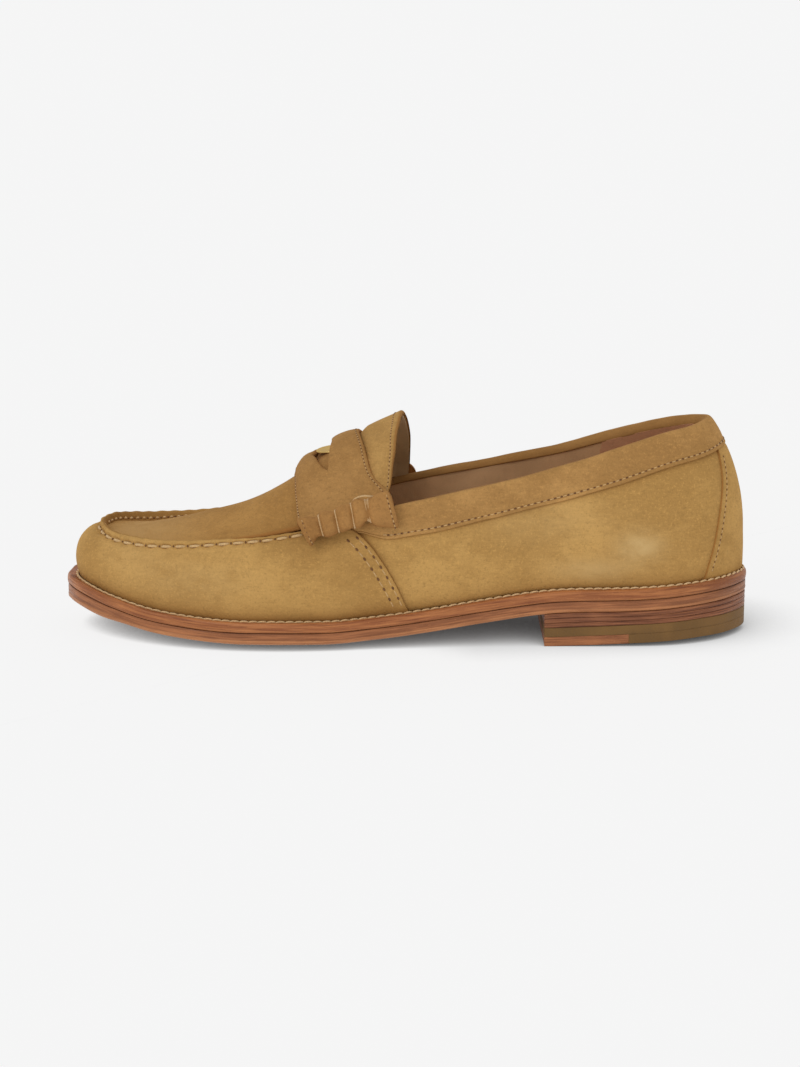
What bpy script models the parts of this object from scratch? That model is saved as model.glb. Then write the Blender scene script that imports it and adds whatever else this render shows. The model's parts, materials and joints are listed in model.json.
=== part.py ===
"""Left penny loafer, welted, with a saddle strap, beef rolls and a stacked heel.

Toe at -X, heel at +X, outer side at -Y. Tables below are in millimetres.
"""

import math

import bmesh
import bpy
import numpy as np
from mathutils import Matrix, Vector

MM = 0.001
GAP = 0.3
ORIGIN = np.array([0.0, 5.1, 0.0])

# Heights of the bottom layers, from the tread up.
OUTSOLE = 5.0
WELT_SEAM = 0.45
FOOT_GAP = 0.5
WELT = 4.2
INSOLE = 2.4
SOCK = 1.2
PAD = 2.4
WELT_WIDTH = 9.0

# Heel: breast position along X, and the layers from the ground up at the breast.
BREAST_X = 59.0
HEEL_BACK_RISE = 2.8
HEEL_RISE = (64.0, 128.0)
TOP_PIECE = 4.1
RUBBER_LIFT = 3.9
TOP_PIECE_SPLIT = 96.0
LIFT_COUNT = 3
NAIL_RADIUS = 1.2
NAILS = [(76, -20), (76, 20), (104, -23), (104, 22), (128, 0)]

# Upper leathers: thickness, and how deep each layer's face lies under the outer face.
SUEDE = 1.6
STIFFENER = 0.9
LINING = 1.0
STIFFENER_DEPTH = SUEDE + 2 * GAP
LINING_DEPTH = STIFFENER_DEPTH + STIFFENER + 2 * GAP

# The coin and the way it slides out of the strap.
COIN_RADIUS = 7.5
COIN_THICKNESS = 1.0
COIN_SLOPE = math.radians(8)

# One row for each station round the shoe, starting at the toe tip and running along the outer
# side to the back (row 16) and home along the inner side: the outsole's edge x, y, the top edge
# of the upper's wall x, y, z, the width of welt left showing, and the wall's roundness and bulge.
STATIONS = [
    (-150, 8, -135.5, 8, 44.5, 5.2, 1.0, 2.2),
    (-146, -8, -131.5, -6.5, 42.8, 5.2, 1.0, 2.0),
    (-136, -20.5, -124, -15.5, 41.6, 5.2, 1.0, 1.8),
    (-120, -31.8, -111.5, -23.5, 41.4, 5.2, 0.95, 1.5),
    (-100, -40, -95, -28, 42.1, 5.2, 0.9, 1.2),
    (-78, -45, -75, -31, 44.1, 5.0, 0.85, 1.0),
    (-55, -46.8, -54, -32.5, 46.6, 5.0, 0.8, 1.5),
    (-32, -45.4, -33, -33.5, 51.4, 5.0, 0.7, 2.0),
    (-8, -41.5, -10, -33.5, 60.0, 5.0, 0.55, 2.5),
    (14, -38, 14, -33, 65.5, 4.8, 0.45, 3.0),
    (38, -36, 40, -31, 71.0, 4.6, 0.4, 3.2),
    (64, -35.5, 65, -28.2, 77.2, 4.4, 0.4, 3.0),
    (90, -36, 88, -25, 84.0, 4.2, 0.45, 2.5),
    (114, -34.3, 108, -20.5, 89.8, 3.8, 0.5, 2.0),
    (134, -25.5, 123, -12.5, 92.8, 3.2, 0.5, 2.2),
    (146.2, -12, 131, -5.5, 94.2, 2.6, 0.5, 2.4),
    (150, 0, 133.5, 0, 94.6, 2.4, 0.5, 2.4),
    (146.2, 12, 131, 5.5, 94.2, 2.6, 0.5, 2.4),
    (134, 25.5, 123, 12.5, 92.8, 3.2, 0.5, 2.2),
    (114, 34, 108, 20, 89.3, 3.8, 0.5, 2.0),
    (90, 35, 88, 24.5, 83.3, 4.2, 0.45, 2.5),
    (64, 34, 65, 27, 76.6, 4.4, 0.4, 3.0),
    (38, 32, 40, 29, 71.0, 4.6, 0.4, 3.2),
    (14, 32, 14, 30, 65.7, 4.8, 0.45, 3.0),
    (-8, 36.5, -8, 31.5, 60.5, 5.0, 0.55, 2.5),
    (-32, 46, -32, 34.5, 53.0, 5.0, 0.7, 2.0),
    (-55, 54.5, -54, 38, 48.4, 5.0, 0.8, 1.5),
    (-78, 57, -76, 40.5, 45.9, 5.0, 0.85, 1.0),
    (-100, 54.5, -96, 40, 44.8, 5.2, 0.9, 1.0),
    (-120, 46.5, -112, 37, 44.4, 5.2, 0.95, 1.5),
    (-136, 34.5, -125, 29.5, 44.6, 5.2, 1.0, 1.8),
    (-146, 22, -132.5, 20, 44.8, 5.2, 1.0, 2.0),
]
ROUND = len(STATIONS)
BACK = ROUND // 2

# Height of the tread's flat middle third, and how much higher its edges are, against x.
TREAD = [(-150, 13.6), (-128, 8.2), (-111, 4.0), (-94, 1.6), (-68, 0.0), (-36, 0.0),
         (-15, 1.6), (10, 5.2), (34, 9.6), (59, 13.8), (100, 15.6), (150, 17.6)]
EDGE_LIFT = [(-150, 1.4), (-120, 2.6), (-90, 3.4), (-60, 3.6), (-20, 3.2), (15, 1.6), (50, 0.4),
             (150, 0.0)]

# Crown of the apron above the line between its two side seams, against x.
CROWN = [(-136, 0), (-124, 1.5), (-111, 3.0), (-95, 4.6), (-78, 7.0), (-65, 10.2), (-54, 14.4),
         (-47, 17.6), (-40, 20.6), (-33, 22.6), (-22, 21.0)]

# Joins of the wall pieces, as stations at the wall's foot and at its top.
VAMP_REAR = (8.45, 7.75)
BACKSTAY_FRONT = (13.95, 15.2)
GRIP_FRONT = (11.6, 12.0)
COLLAR_DROP = [(7.7, 0.62), (9.0, 0.605), (12.0, 0.64), (14.0, 0.665), (16.0, 0.68)]

# Rails of the saddle strap's outer face, front edge to rear edge, each from the outer side over
# the crown to the inner side. The slit opens between the second rail and the third.
APRON_INSET = 2.3
STRAP = 1.4
STRAP_SHARES = [0.0, 0.27, 0.55, 1.0]
STRAP_RAILS = [
    [(-46, -38.9, 45.5), (-46.8, -33.5, 51.6), (-47.8, -21, 60.8), (-48.5, -10, 65.6),
     (-48.9, 2.5, 67.6), (-48.5, 14, 65.8), (-47.5, 25, 61.4), (-45.5, 37, 53.4),
     (-44.5, 43.4, 46.5)],
    [(-38, -39, 46.2), (-39.5, -34.8, 54.5), (-42.5, -19, 68.4), (-41.5, -9, 75.9),
     (-41.2, 1.8, 77.5), (-41.2, 12.5, 75.9), (-41, 22.5, 69.6), (-38, 37.6, 56),
     (-36.5, 42, 47.5)],
    [(-24, -38.6, 50.5), (-27, -34.8, 58.5), (-33.5, -19.5, 73.3), (-33.3, -9, 80.9),
     (-33.1, 1.5, 82.4), (-33, 12, 80.9), (-32, 22.5, 73.8), (-27, 36.2, 60),
     (-25, 40, 51.5)],
    [(-4.5, -38, 58.5), (-6.6, -31.8, 66.5), (-14, -24.5, 73.2), (-18, -13, 83.8),
     (-20.6, 2, 88.6), (-17.5, 17, 83.6), (-12.5, 26.5, 74.2), (-5, 33.3, 66.3),
     (-3, 36.8, 58.5)],
]
SLIT_HALF = 0.5
SLIT_SHARES = (0.27, 0.55)

# Rails of the tongue's outer face: just behind the strap, and along its free edge.
TONGUE_RAILS = [
    [(-8.9, -27.6, 70.6), (-14.0, -22.4, 76.2), (-17.4, -12.5, 83.6), (-19.7, 2, 87.8),
     (-16.4, 16.8, 83.2), (-11.2, 25.2, 74.9), (-5.5, 29.8, 69)],
    [(-6.6, -28, 70.6), (-5.6, -23.6, 82.5), (-4.2, -13, 92.3), (-2, 2, 96.6),
     (0, 15.5, 92.3), (1.7, 24.5, 82.5), (2, 29.5, 70)],
]

# Beef rolls: middle line's ends, half depth and half height, and where the wraps pinch them.
ROLLS = {
    "outer": ((-46.5, -41.4, 52.4), (-3.5, -41.4, 62.0)),
    "inner": ((-44.5, 45.9, 53.0), (-1.5, 40.2, 62.6)),
}
ROLL_RADII = (3.5, 5.3)
ROLL_WRAPS = (0.19, 0.36, 0.53, 0.70)

TONGUE_HINGE = (-19.7, 5.1, 87.8)

# The coin's middle at rest.
COIN_CENTRE = (-31.6, 1.6, 79.55)


def smooth(table, x):
    """Value of a smooth curve through the table's (x, value) points, flat past its ends."""
    xs, ys = np.array(table, float).T
    x = np.clip(x, xs[0], xs[-1])
    slopes = np.gradient(ys, xs)
    steps = np.diff(ys) / np.diff(xs)
    turns = np.concatenate([[True], steps[:-1] * steps[1:] <= 0, [True]])
    slopes[turns] = 0
    i = np.clip(np.searchsorted(xs, x, side="right") - 1, 0, len(xs) - 2)
    width = xs[i + 1] - xs[i]
    t = (x - xs[i]) / width
    return (
        ys[i] * (1 + 2 * t) * (1 - t) ** 2
        + ys[i + 1] * t * t * (3 - 2 * t)
        + width * (slopes[i] * t * (1 - t) ** 2 - slopes[i + 1] * t * t * (1 - t))
    )


def rail_curve(points, t):
    """Point at t, -1 to 1, on a smooth curve through evenly numbered points."""
    points = np.array(points, float)
    last = len(points) - 1
    padded = np.concatenate([[2 * points[0] - points[1]], points, [2 * points[-1] - points[-2]]])
    place = (np.asarray(t, float) + 1) / 2 * last
    i = np.clip(np.floor(place).astype(int), 0, last - 1)
    f = (place - i)[..., None]
    a, b, c, d = (padded[i + k] for k in range(4))
    return b + 0.5 * f * (c - a + f * (2 * a - 5 * b + 4 * c - d + f * (3 * (b - c) + d - a)))


def strap(share, t):
    """Point of the strap's outer face: share 0 to 1 from front to rear, t -1 to 1 across."""
    rails = np.stack([rail_curve(rail, t) for rail in STRAP_RAILS])
    knots = np.array(STRAP_SHARES)
    slopes = np.gradient(rails, knots, axis=0)
    share = np.asarray(share, float)
    i = np.clip(np.searchsorted(knots, share, side="right") - 1, 0, len(knots) - 2)
    width = (knots[i + 1] - knots[i])[..., None]
    f = (share - knots[i])[..., None] / width

    def pick(values, k):
        return np.take_along_axis(values, k[None, ..., None], axis=0)[0]

    return (
        pick(rails, i) * (1 + 2 * f) * (1 - f) ** 2
        + pick(rails, i + 1) * f * f * (3 - 2 * f)
        + width * (pick(slopes, i) * f * (1 - f) ** 2 - pick(slopes, i + 1) * f * f * (1 - f))
    )


def tongue(share, t):
    """Point of the tongue's outer face: share 0 at the strap to 1 at the free edge."""
    front, rear = (rail_curve(rail, t) for rail in TONGUE_RAILS)
    return front + (rear - front) * np.asarray(share)[..., None]


def station(u):
    """Rows of the station table at u, on a closed smooth curve through all of them."""
    rows = np.array(STATIONS, float)
    u = np.asarray(u, float) % ROUND
    i = np.floor(u).astype(int)
    t = (u - i)[..., None]
    a, b, c, d = (rows[(i + k) % ROUND] for k in (-1, 0, 1, 2))
    return b + 0.5 * t * (c - a + t * (2 * a - 5 * b + 4 * c - d + t * (3 * (b - c) + d - a)))


def edge(u, inset=0.0):
    """Point x, y of the outsole's edge at station u, moved in by inset."""
    step = 0.01
    along = station(u + step)[..., :2] - station(u - step)[..., :2]
    along = along / np.linalg.norm(along, axis=-1, keepdims=True)
    outward = np.stack([along[..., 1], -along[..., 0]], -1)
    return station(u)[..., :2] - outward * np.asarray(inset)[..., None]


def tread(x, y):
    """Height of the sole's walking face at x, y."""
    outer = edge(np.linspace(0, BACK, 129))
    inner = edge(np.linspace(ROUND, BACK, 129))
    low = np.interp(x, outer[:, 0], outer[:, 1])
    high = np.interp(x, inner[:, 0], inner[:, 1])
    across = np.abs(2 * y - low - high) / np.maximum(high - low, 20.0)
    return smooth(TREAD, x) + smooth(EDGE_LIFT, x) * np.clip(1.5 * across - 0.5, 0, 1) ** 1.7


def wall_face(u, v):
    """Point of the upper's outer face: u round the shoe, v from the welt up to the top edge."""
    row = station(u)
    foot = edge(u, row[..., 5])
    top = row[..., 2:5]
    foot_z = tread(*np.moveaxis(foot, -1, 0)) + OUTSOLE + WELT_SEAM + WELT + FOOT_GAP
    roundness, bulge = row[..., 6], row[..., 7]
    inward = (1 - roundness) * v + roundness * (1 - np.cos(v * math.pi / 2))
    upward = (1 - roundness) * v + roundness * np.sin(v * math.pi / 2)
    out = foot - edge(u, row[..., 5] + 1.0)
    flat = foot + (top[..., :2] - foot) * inward[..., None]
    flat = flat + out * (bulge * np.sin(v * math.pi) * (1.5 - v))[..., None]
    return np.concatenate([flat, (foot_z + (top[..., 2] - foot_z) * upward)[..., None]], -1)


def wall(u, v, depth=0.0):
    """As wall_face, moved in by depth."""
    step = 0.004
    along = wall_face(u + step, v) - wall_face(u - step, v)
    up = wall_face(u, v + step) - wall_face(u, v - step)
    normal = np.cross(along, up)
    normal /= np.linalg.norm(normal, axis=-1, keepdims=True)
    return wall_face(u, v) - normal * np.asarray(depth)[..., None]


def seam(u, inset):
    """Point of the wall's top edge at station u, moved in by inset."""
    step = 0.01
    along = station(u + step)[..., 2:4] - station(u - step)[..., 2:4]
    along = along / np.linalg.norm(along, axis=-1, keepdims=True)
    inward = np.stack([-along[..., 1], along[..., 0], 0 * along[..., 0]], -1)
    return station(u)[..., 2:5] + inward * inset


def apron(s, t):
    """Point of the apron's outer face: s stations back from the toe tip, t -1 to 1 across."""
    outer, inner = seam(s, APRON_INSET), seam(-s, APRON_INSET)
    point = outer + (inner - outer) * (t + 1)[..., None] / 2
    point[..., 2] += smooth(CROWN, point[..., 0]) * (1 - 0.88 * t**2)
    return point


def material(name, colour, roughness, metallic=0.0):
    made = bpy.data.materials.new(name)
    made.use_nodes = True
    shader = made.node_tree.nodes["Principled BSDF"]
    shader.inputs["Base Color"].default_value = (*colour, 1.0)
    shader.inputs["Roughness"].default_value = roughness
    shader.inputs["Metallic"].default_value = metallic
    made.diffuse_color = (*colour, 1.0)
    return made


def finished(name, mesh, look, smooth_angle=40):
    """Object in the parts collection, shaded smooth where it is round."""
    mesh.materials.append(look)
    mesh.shade_smooth()
    mesh.set_sharp_from_angle(angle=math.radians(smooth_angle))
    made = bpy.data.objects.new(name, mesh)
    PARTS.objects.link(made)
    return made


def mesh_from(points, faces, name):
    """Mesh of the points, in millimetres, with coincident points joined."""
    mesh = bpy.data.meshes.new(name)
    mesh.from_pydata(((np.asarray(points) - ORIGIN) * MM).tolist(), [], faces)
    work = bmesh.new()
    work.from_mesh(mesh)
    bmesh.ops.remove_doubles(work, verts=work.verts, dist=1e-6)
    bmesh.ops.dissolve_degenerate(work, edges=work.edges, dist=1e-7)
    work.to_mesh(mesh)
    work.free()
    return mesh


def sheet(name, points, look, thickness):
    """Leather sheet: a grid of points on its outer face, given thickness inwards."""
    rows, columns = points.shape[:2]
    faces = [
        (i * columns + j, (i + 1) * columns + j, (i + 1) * columns + j + 1, i * columns + j + 1)
        for i in range(rows - 1)
        for j in range(columns - 1)
    ]
    made = finished(name, mesh_from(points.reshape(-1, 3), faces, name), look)
    thicken = made.modifiers.new("thickness", "SOLIDIFY")
    thicken.thickness = thickness * MM
    thicken.offset = -1
    return made


def block(name, low, high, look, smooth_angle=40):
    """Closed solid between two grids of points, the low one and the high one above it."""
    rows, columns = low.shape[:2]
    count = rows * columns
    rim = [i * columns for i in range(rows)]
    rim += [(rows - 1) * columns + j for j in range(1, columns)]
    rim += [i * columns + columns - 1 for i in range(rows - 2, -1, -1)]
    rim += list(range(columns - 2, 0, -1))
    faces = []
    for i in range(rows - 1):
        for j in range(columns - 1):
            a, b = i * columns + j, (i + 1) * columns + j
            faces.append((a, a + 1, b + 1, b))
            faces.append((a + count, b + count, b + 1 + count, a + 1 + count))
    for a, b in zip(rim, rim[1:] + rim[:1]):
        faces.append((a, b, b + count, a + count))
    points = np.concatenate([low.reshape(-1, 3), high.reshape(-1, 3)])
    mesh = mesh_from(points, faces, name)
    work = bmesh.new()
    work.from_mesh(mesh)
    bmesh.ops.recalc_face_normals(work, faces=work.faces)
    work.to_mesh(mesh)
    work.free()
    return finished(name, mesh, look, smooth_angle)


def ring(name, sections, look, closed=True):
    """Closed solid through a row of sections of equal point count, joined end to end or capped."""
    rows, columns = sections.shape[:2]
    faces = []
    for i in range(rows if closed else rows - 1):
        for j in range(columns):
            a, b = i * columns, (i + 1) % rows * columns
            k = (j + 1) % columns
            faces.append((a + j, b + j, b + k, a + k))
    if not closed:
        faces.append(tuple(range(columns)))
        faces.append(tuple(range((rows - 1) * columns, rows * columns))[::-1])
    mesh = mesh_from(sections.reshape(-1, 3), faces, name)
    work = bmesh.new()
    work.from_mesh(mesh)
    bmesh.ops.recalc_face_normals(work, faces=work.faces)
    work.to_mesh(mesh)
    work.free()
    return finished(name, mesh, look)


def layer_plan(start, stop, steps, inset, across=5):
    """Grid of x, y over the sole between two stations back from the toe, inside the inset edge."""
    half = 0.5 - 0.5 * np.cos(np.linspace(0, math.pi, steps))
    s = start + (stop - start) * (0.5 * half + 0.5 * np.linspace(0, 1, steps))
    outer, inner = edge(s, np.full(steps, inset)), edge(-s, np.full(steps, inset))
    t = np.linspace(0, 1, across)[None, :, None]
    return outer[:, None] * (1 - t) + inner[:, None] * t


def raised(plan, height):
    """Points of the plan at a height above the tread."""
    z = tread(plan[..., 0], plan[..., 1]) + height
    return np.concatenate([plan, z[..., None]], -1)


def cut(made, cutter):
    trim = made.modifiers.new("cut", "BOOLEAN")
    trim.object = cutter
    trim.operation = "DIFFERENCE"


def cutter_from(mesh, name):
    made = bpy.data.objects.new(name, mesh)
    made.hide_render = True
    made.display_type = "WIRE"
    CUTTERS.objects.link(made)
    return made


def cylinders(places, radius, low, high, sides=10):
    """Mesh of upright cylinders at the places x, y between two heights."""
    mesh = bpy.data.meshes.new("cylinders")
    work = bmesh.new()
    for x, y in places:
        centre = (Vector((x, y, (low + high) / 2)) - Vector(ORIGIN)) * MM
        made = bmesh.ops.create_cone(
            work, cap_ends=True, segments=sides, radius1=radius * MM, radius2=radius * MM,
            depth=(high - low) * MM,
        )
        bmesh.ops.translate(work, verts=made["verts"], vec=centre)
    work.to_mesh(mesh)
    work.free()
    return mesh


def heel_floor(x):
    """Height of the heel's walking face, which rises to the back."""
    return HEEL_BACK_RISE * np.clip((x - HEEL_RISE[0]) / (HEEL_RISE[1] - HEEL_RISE[0]), 0, 1)


def heel_plan(front_x, back_x, inset=0.4, steps=9):
    """Grid of x, y over the heel between two lines across it."""
    s = np.linspace(0, BACK, 400)
    outer, inner = edge(s, np.full(400, inset)), edge(-s, np.full(400, inset))
    last = outer[-1, 0]
    back_x = min(back_x, last)
    turn = np.linspace(0, math.pi / 2, steps)
    x = front_x + (back_x - front_x) * (np.sin(turn) if back_x == last else turn * 2 / math.pi)
    low, high = np.interp(x, outer[:, 0], outer[:, 1]), np.interp(x, inner[:, 0], inner[:, 1])
    t = np.linspace(0, 1, 3)[None, :]
    y = low[:, None] * (1 - t) + high[:, None] * t
    return np.stack([np.repeat(x[:, None], 3, 1), y], -1)


def heel_layer(plan, share_low, share_high):
    """Low and high grids of a heel layer, as shares of the stack above the top piece."""
    x, y = plan[..., 0], plan[..., 1]
    floor = heel_floor(x)
    stack_low = floor + TOP_PIECE + RUBBER_LIFT + 2 * GAP
    stack_high = tread(x, y) - GAP
    grids = []
    for share, shift in ((share_low, 0.0), (share_high, -GAP)):
        z = stack_low + (stack_high + GAP - stack_low) * share + shift
        grids.append(np.concatenate([plan, z[..., None]], -1))
    return grids


def at_height(plan, z):
    return np.concatenate([plan, np.broadcast_to(z, plan.shape[:-1])[..., None]], -1)


def build_bottom(looks):
    full = layer_plan(0, BACK, 34, 0.0, across=7)
    block("outsole", raised(full, 0), raised(full, OUTSOLE), looks["sole_leather"])

    u = np.linspace(0, ROUND, 72, endpoint=False)
    base = OUTSOLE + WELT_SEAM
    corners = [(0.0, base), (0.0, base + WELT), (WELT_WIDTH, base + WELT), (WELT_WIDTH, base)]
    sections = [raised(edge(u, np.full(72, inset)), height) for inset, height in corners]
    ring("welt", np.stack(sections, 1), looks["welt_leather"])

    filler = layer_plan(0.6, BACK - 0.6, 24, WELT_WIDTH + 0.5)
    cork = block("cork_filler", raised(filler, base), raised(filler, base + WELT), looks["cork"])
    shank_x = np.linspace(-12, 92, 9)[:, None]
    shank_y = np.array([[-6.0, 6.0]])
    plan = np.stack(np.broadcast_arrays(shank_x, shank_y - 0.5), -1)
    block("shank", raised(plan, base + 1.6), raised(plan, base + 3.4), looks["steel"])
    pocket_x = np.linspace(-12.5, 92.5, 9)[:, None]
    pocket = np.stack(np.broadcast_arrays(pocket_x, shank_y * 1.08 - 0.5), -1)
    cutter = block("shank_pocket", raised(pocket, base + 1.25), raised(pocket, base + 9), looks["cork"])
    PARTS.objects.unlink(cutter)
    CUTTERS.objects.link(cutter)
    cutter.hide_render = True
    cutter.display_type = "WIRE"
    cut(cork, cutter)

    board = base + WELT + GAP
    inside = layer_plan(0.3, BACK - 0.3, 26, WELT_WIDTH + 3.0)
    block("insole", raised(inside, board), raised(inside, board + INSOLE), looks["board"])
    pad = layer_plan(10.6, BACK - 0.9, 12, WELT_WIDTH + 5.5)
    pad_low = board + INSOLE + GAP
    pad_grow = np.clip((pad[..., 0] - pad[0, 0, 0]) / 22, 0, 1)
    block("heel_pad", raised(pad, pad_low), raised(pad, pad_low + 0.6 + (PAD - 0.6) * pad_grow),
          looks["foam"])
    sock = layer_plan(0.3, BACK - 0.3, 30, WELT_WIDTH + 3.4)
    lift = (PAD + 2 * GAP) * np.clip((sock[..., 0] - 20) / 22, 0, 1)
    sock_low = board + INSOLE + GAP + lift
    block("sock_liner", raised(sock, sock_low), raised(sock, sock_low + SOCK), looks["lining"])


def build_heel(looks):
    nail_holes = cutter_from(cylinders(NAILS, NAIL_RADIUS + 0.25, -5, 30), "nail_holes")
    plan = heel_plan(BREAST_X, 150)
    for i in range(LIFT_COUNT):
        name = f"heel_lift_{i + 1}"
        low, high = heel_layer(plan, i / LIFT_COUNT, (i + 1) / LIFT_COUNT)
        cut(block(name, low, high, looks["heel_leather"]), nail_holes)
    floor = heel_floor(plan[..., 0])
    base = floor + TOP_PIECE + GAP
    rubber = block("heel_rubber_lift", at_height(plan, base), at_height(plan, base + RUBBER_LIFT),
                   looks["rubber"])
    cut(rubber, nail_holes)
    front = heel_plan(BREAST_X, TOP_PIECE_SPLIT, steps=4)
    floor = heel_floor(front[..., 0])
    block("top_piece_leather", at_height(front, floor), at_height(front, floor + TOP_PIECE),
          looks["heel_leather"])
    rear = heel_plan(TOP_PIECE_SPLIT + GAP, 150, steps=8)
    floor = heel_floor(rear[..., 0])
    block("top_piece_rubber", at_height(rear, floor), at_height(rear, floor + TOP_PIECE),
          looks["rubber"])
    for i, place in enumerate(NAILS):
        low = heel_floor(place[0]) + TOP_PIECE + GAP + 0.2
        high = tread(*map(float, place)) - GAP - 0.3
        finished(f"heel_nail_{i + 1}", cylinders([place], NAIL_RADIUS, low, high, 8), looks["steel"])


def wall_patch(front, rear, bottom, top, steps, rows, depth=0.0):
    """Grid on the wall between two slanted lines of stations and two heights v."""
    share = np.linspace(0, 1, steps)[:, None]
    level = np.linspace(0, 1, rows)[None, :]
    v = level + 0 * share
    for _ in range(4):
        first = front[0] + (front[1] - front[0]) * v
        last = rear[0] + (rear[1] - rear[0]) * v
        u = first + (last - first) * share
        high = top(u) if callable(top) else top
        v = bottom + (high - bottom) * level + 0 * u
    return wall(u, v, depth + 0 * u)


def collar_edge(u):
    """Height v of the collar band's lower edge at station u."""
    return smooth(COLLAR_DROP, np.where(u > BACK, ROUND - u, u))


def other_side(line):
    """The same line of stations on the inner side."""
    return ROUND - line[0], ROUND - line[1]


def shifted(line, by):
    return line[0] + by, line[1] + by


def build_walls(looks):
    vamp_rear = shifted(VAMP_REAR, -0.02)
    vamp_front = shifted(other_side(VAMP_REAR), 0.02 - ROUND)
    sheet("vamp", wall_patch(vamp_front, vamp_rear, 0, 1, 49, 7), looks["suede"], SUEDE)
    for side in ("outer", "inner"):
        start, stop = VAMP_REAR, shifted(BACKSTAY_FRONT, -0.02)
        lining_start, lining_stop = shifted(VAMP_REAR, 0.02), shifted(GRIP_FRONT, -0.02)
        if side == "inner":
            start, stop = other_side(stop), other_side(start)
            lining_start, lining_stop = other_side(lining_stop), other_side(lining_start)
        sheet(f"quarter_{side}", wall_patch(start, stop, 0, lambda u: collar_edge(u) - 0.012, 16, 5),
              looks["suede"], SUEDE)
        lining = wall_patch(lining_start, lining_stop, 0.02, lambda u: collar_edge(u) - 0.012, 12, 5,
                            LINING_DEPTH)
        sheet(f"quarter_lining_{side}", lining, looks["lining"], LINING)
    back = wall_patch(BACKSTAY_FRONT, other_side(BACKSTAY_FRONT), 0,
                      lambda u: collar_edge(u) - 0.012, 9, 6)
    sheet("backstay", back, looks["suede"], SUEDE)
    grip = wall_patch(GRIP_FRONT, other_side(GRIP_FRONT), 0.02,
                      lambda u: collar_edge(u) - 0.012, 17, 5, LINING_DEPTH)
    sheet("heel_grip", grip, looks["grip"], LINING)
    counter_front = (12.0, 13.0)
    counter = wall_patch(counter_front, other_side(counter_front), 0.03, 0.62, 17, 5,
                         STIFFENER_DEPTH)
    sheet("heel_counter", counter, looks["board"], STIFFENER)
    puff = wall_patch((-3.4, -2.6), (3.4, 2.6), 0.04, 0.8, 15, 5, STIFFENER_DEPTH)
    sheet("toe_puff", puff, looks["board"], STIFFENER)
    lining = wall_patch(shifted(vamp_front, 0.05), shifted(vamp_rear, -0.05), 0.02, 0.9, 33, 5,
                        LINING_DEPTH)
    sheet("vamp_lining", lining, looks["lining"], LINING)


def build_collar(looks):
    """Band round the opening, from beef roll to beef roll, closed over the top."""
    share = np.linspace(0, 1, 47)
    low = collar_edge(VAMP_REAR[1] + (ROUND - 2 * VAMP_REAR[1]) * share)
    sections = []
    shape = [(0.0, 0.0), (0.5, 0.3), (0.94, -0.1), (1.0, 1.4), (1.0, 3.3), (0.9, 4.8), (0.0, 4.8)]
    for height, depth in shape:
        v = low + (1 - low) * height
        first = VAMP_REAR[0] + (VAMP_REAR[1] - VAMP_REAR[0]) * v + 0.06
        u = first + (ROUND - 2 * first) * share
        sections.append(wall(u, v, np.full(len(u), depth)))
    ring("collar_band", np.stack(sections, 1), looks["collar"], closed=False)


def build_apron(looks):
    s = np.concatenate([np.linspace(0.0, 0.5, 4)[:-1], np.linspace(0.5, 7.42, 22)])[:, None]
    t = np.linspace(-1, 1, 11)[None, :]
    sheet("apron", apron(s + 0 * t, t + 0 * s), looks["suede"], SUEDE)


def hung(made, hinge):
    """Parents an object to the empty on its joint axis, without moving it."""
    made.parent = hinge
    made.matrix_parent_inverse = Matrix.Translation(-hinge.location)


def build_tongue(looks):
    hinge = bpy.data.objects.new("tongue_hinge", None)
    hinge.location = (Vector(TONGUE_HINGE) - Vector(ORIGIN)) * MM
    PARTS.objects.link(hinge)
    share = np.linspace(0, 1, 4)[:, None]
    t = np.linspace(-1, 1, 19)[None, :]
    face = tongue(share + 0 * t, t + 0 * share)
    hung(sheet("tongue", face, looks["suede"], SUEDE), hinge)
    inside = tongue(share * 0.98 + 0 * t, t * 0.99 + 0 * share)
    along = np.gradient(inside, axis=1)
    back = np.gradient(inside, axis=0)
    normal = np.cross(back, along)
    normal /= np.linalg.norm(normal, axis=-1, keepdims=True)
    lining = sheet("tongue_lining", inside - normal * (SUEDE + GAP), looks["lining"], LINING)
    hung(lining, hinge)


def strap_part(first, last, rows, t):
    """Grid of the strap between two lines of shares."""
    level = np.linspace(0, 1, rows)[:, None]
    share = first[None, :] + (last - first)[None, :] * level
    return strap(share, t[None, :] + 0 * level)


def build_strap(looks):
    t = np.linspace(-1, 1, 33)
    opening = np.clip(1 - (t / SLIT_HALF) ** 2, 0, 1)
    slit_rear = np.full(len(t), SLIT_SHARES[1])
    slit_front = slit_rear - (SLIT_SHARES[1] - SLIT_SHARES[0]) * opening
    front = strap_part(0 * t, slit_front, 5, t)
    rear = strap_part(slit_rear, 0 * t + 1, 5, t)
    points = np.concatenate([front, rear])
    rows, columns = points.shape[:2]
    faces = [
        (i * columns + j, (i + 1) * columns + j, (i + 1) * columns + j + 1, i * columns + j + 1)
        for i in range(rows - 1)
        if i != len(front) - 1
        for j in range(columns - 1)
    ]
    made = finished("saddle_strap", mesh_from(points.reshape(-1, 3), faces, "saddle_strap"),
                    looks["suede"])
    thicken = made.modifiers.new("thickness", "SOLIDIFY")
    thicken.thickness = STRAP * MM
    thicken.offset = -1


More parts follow.
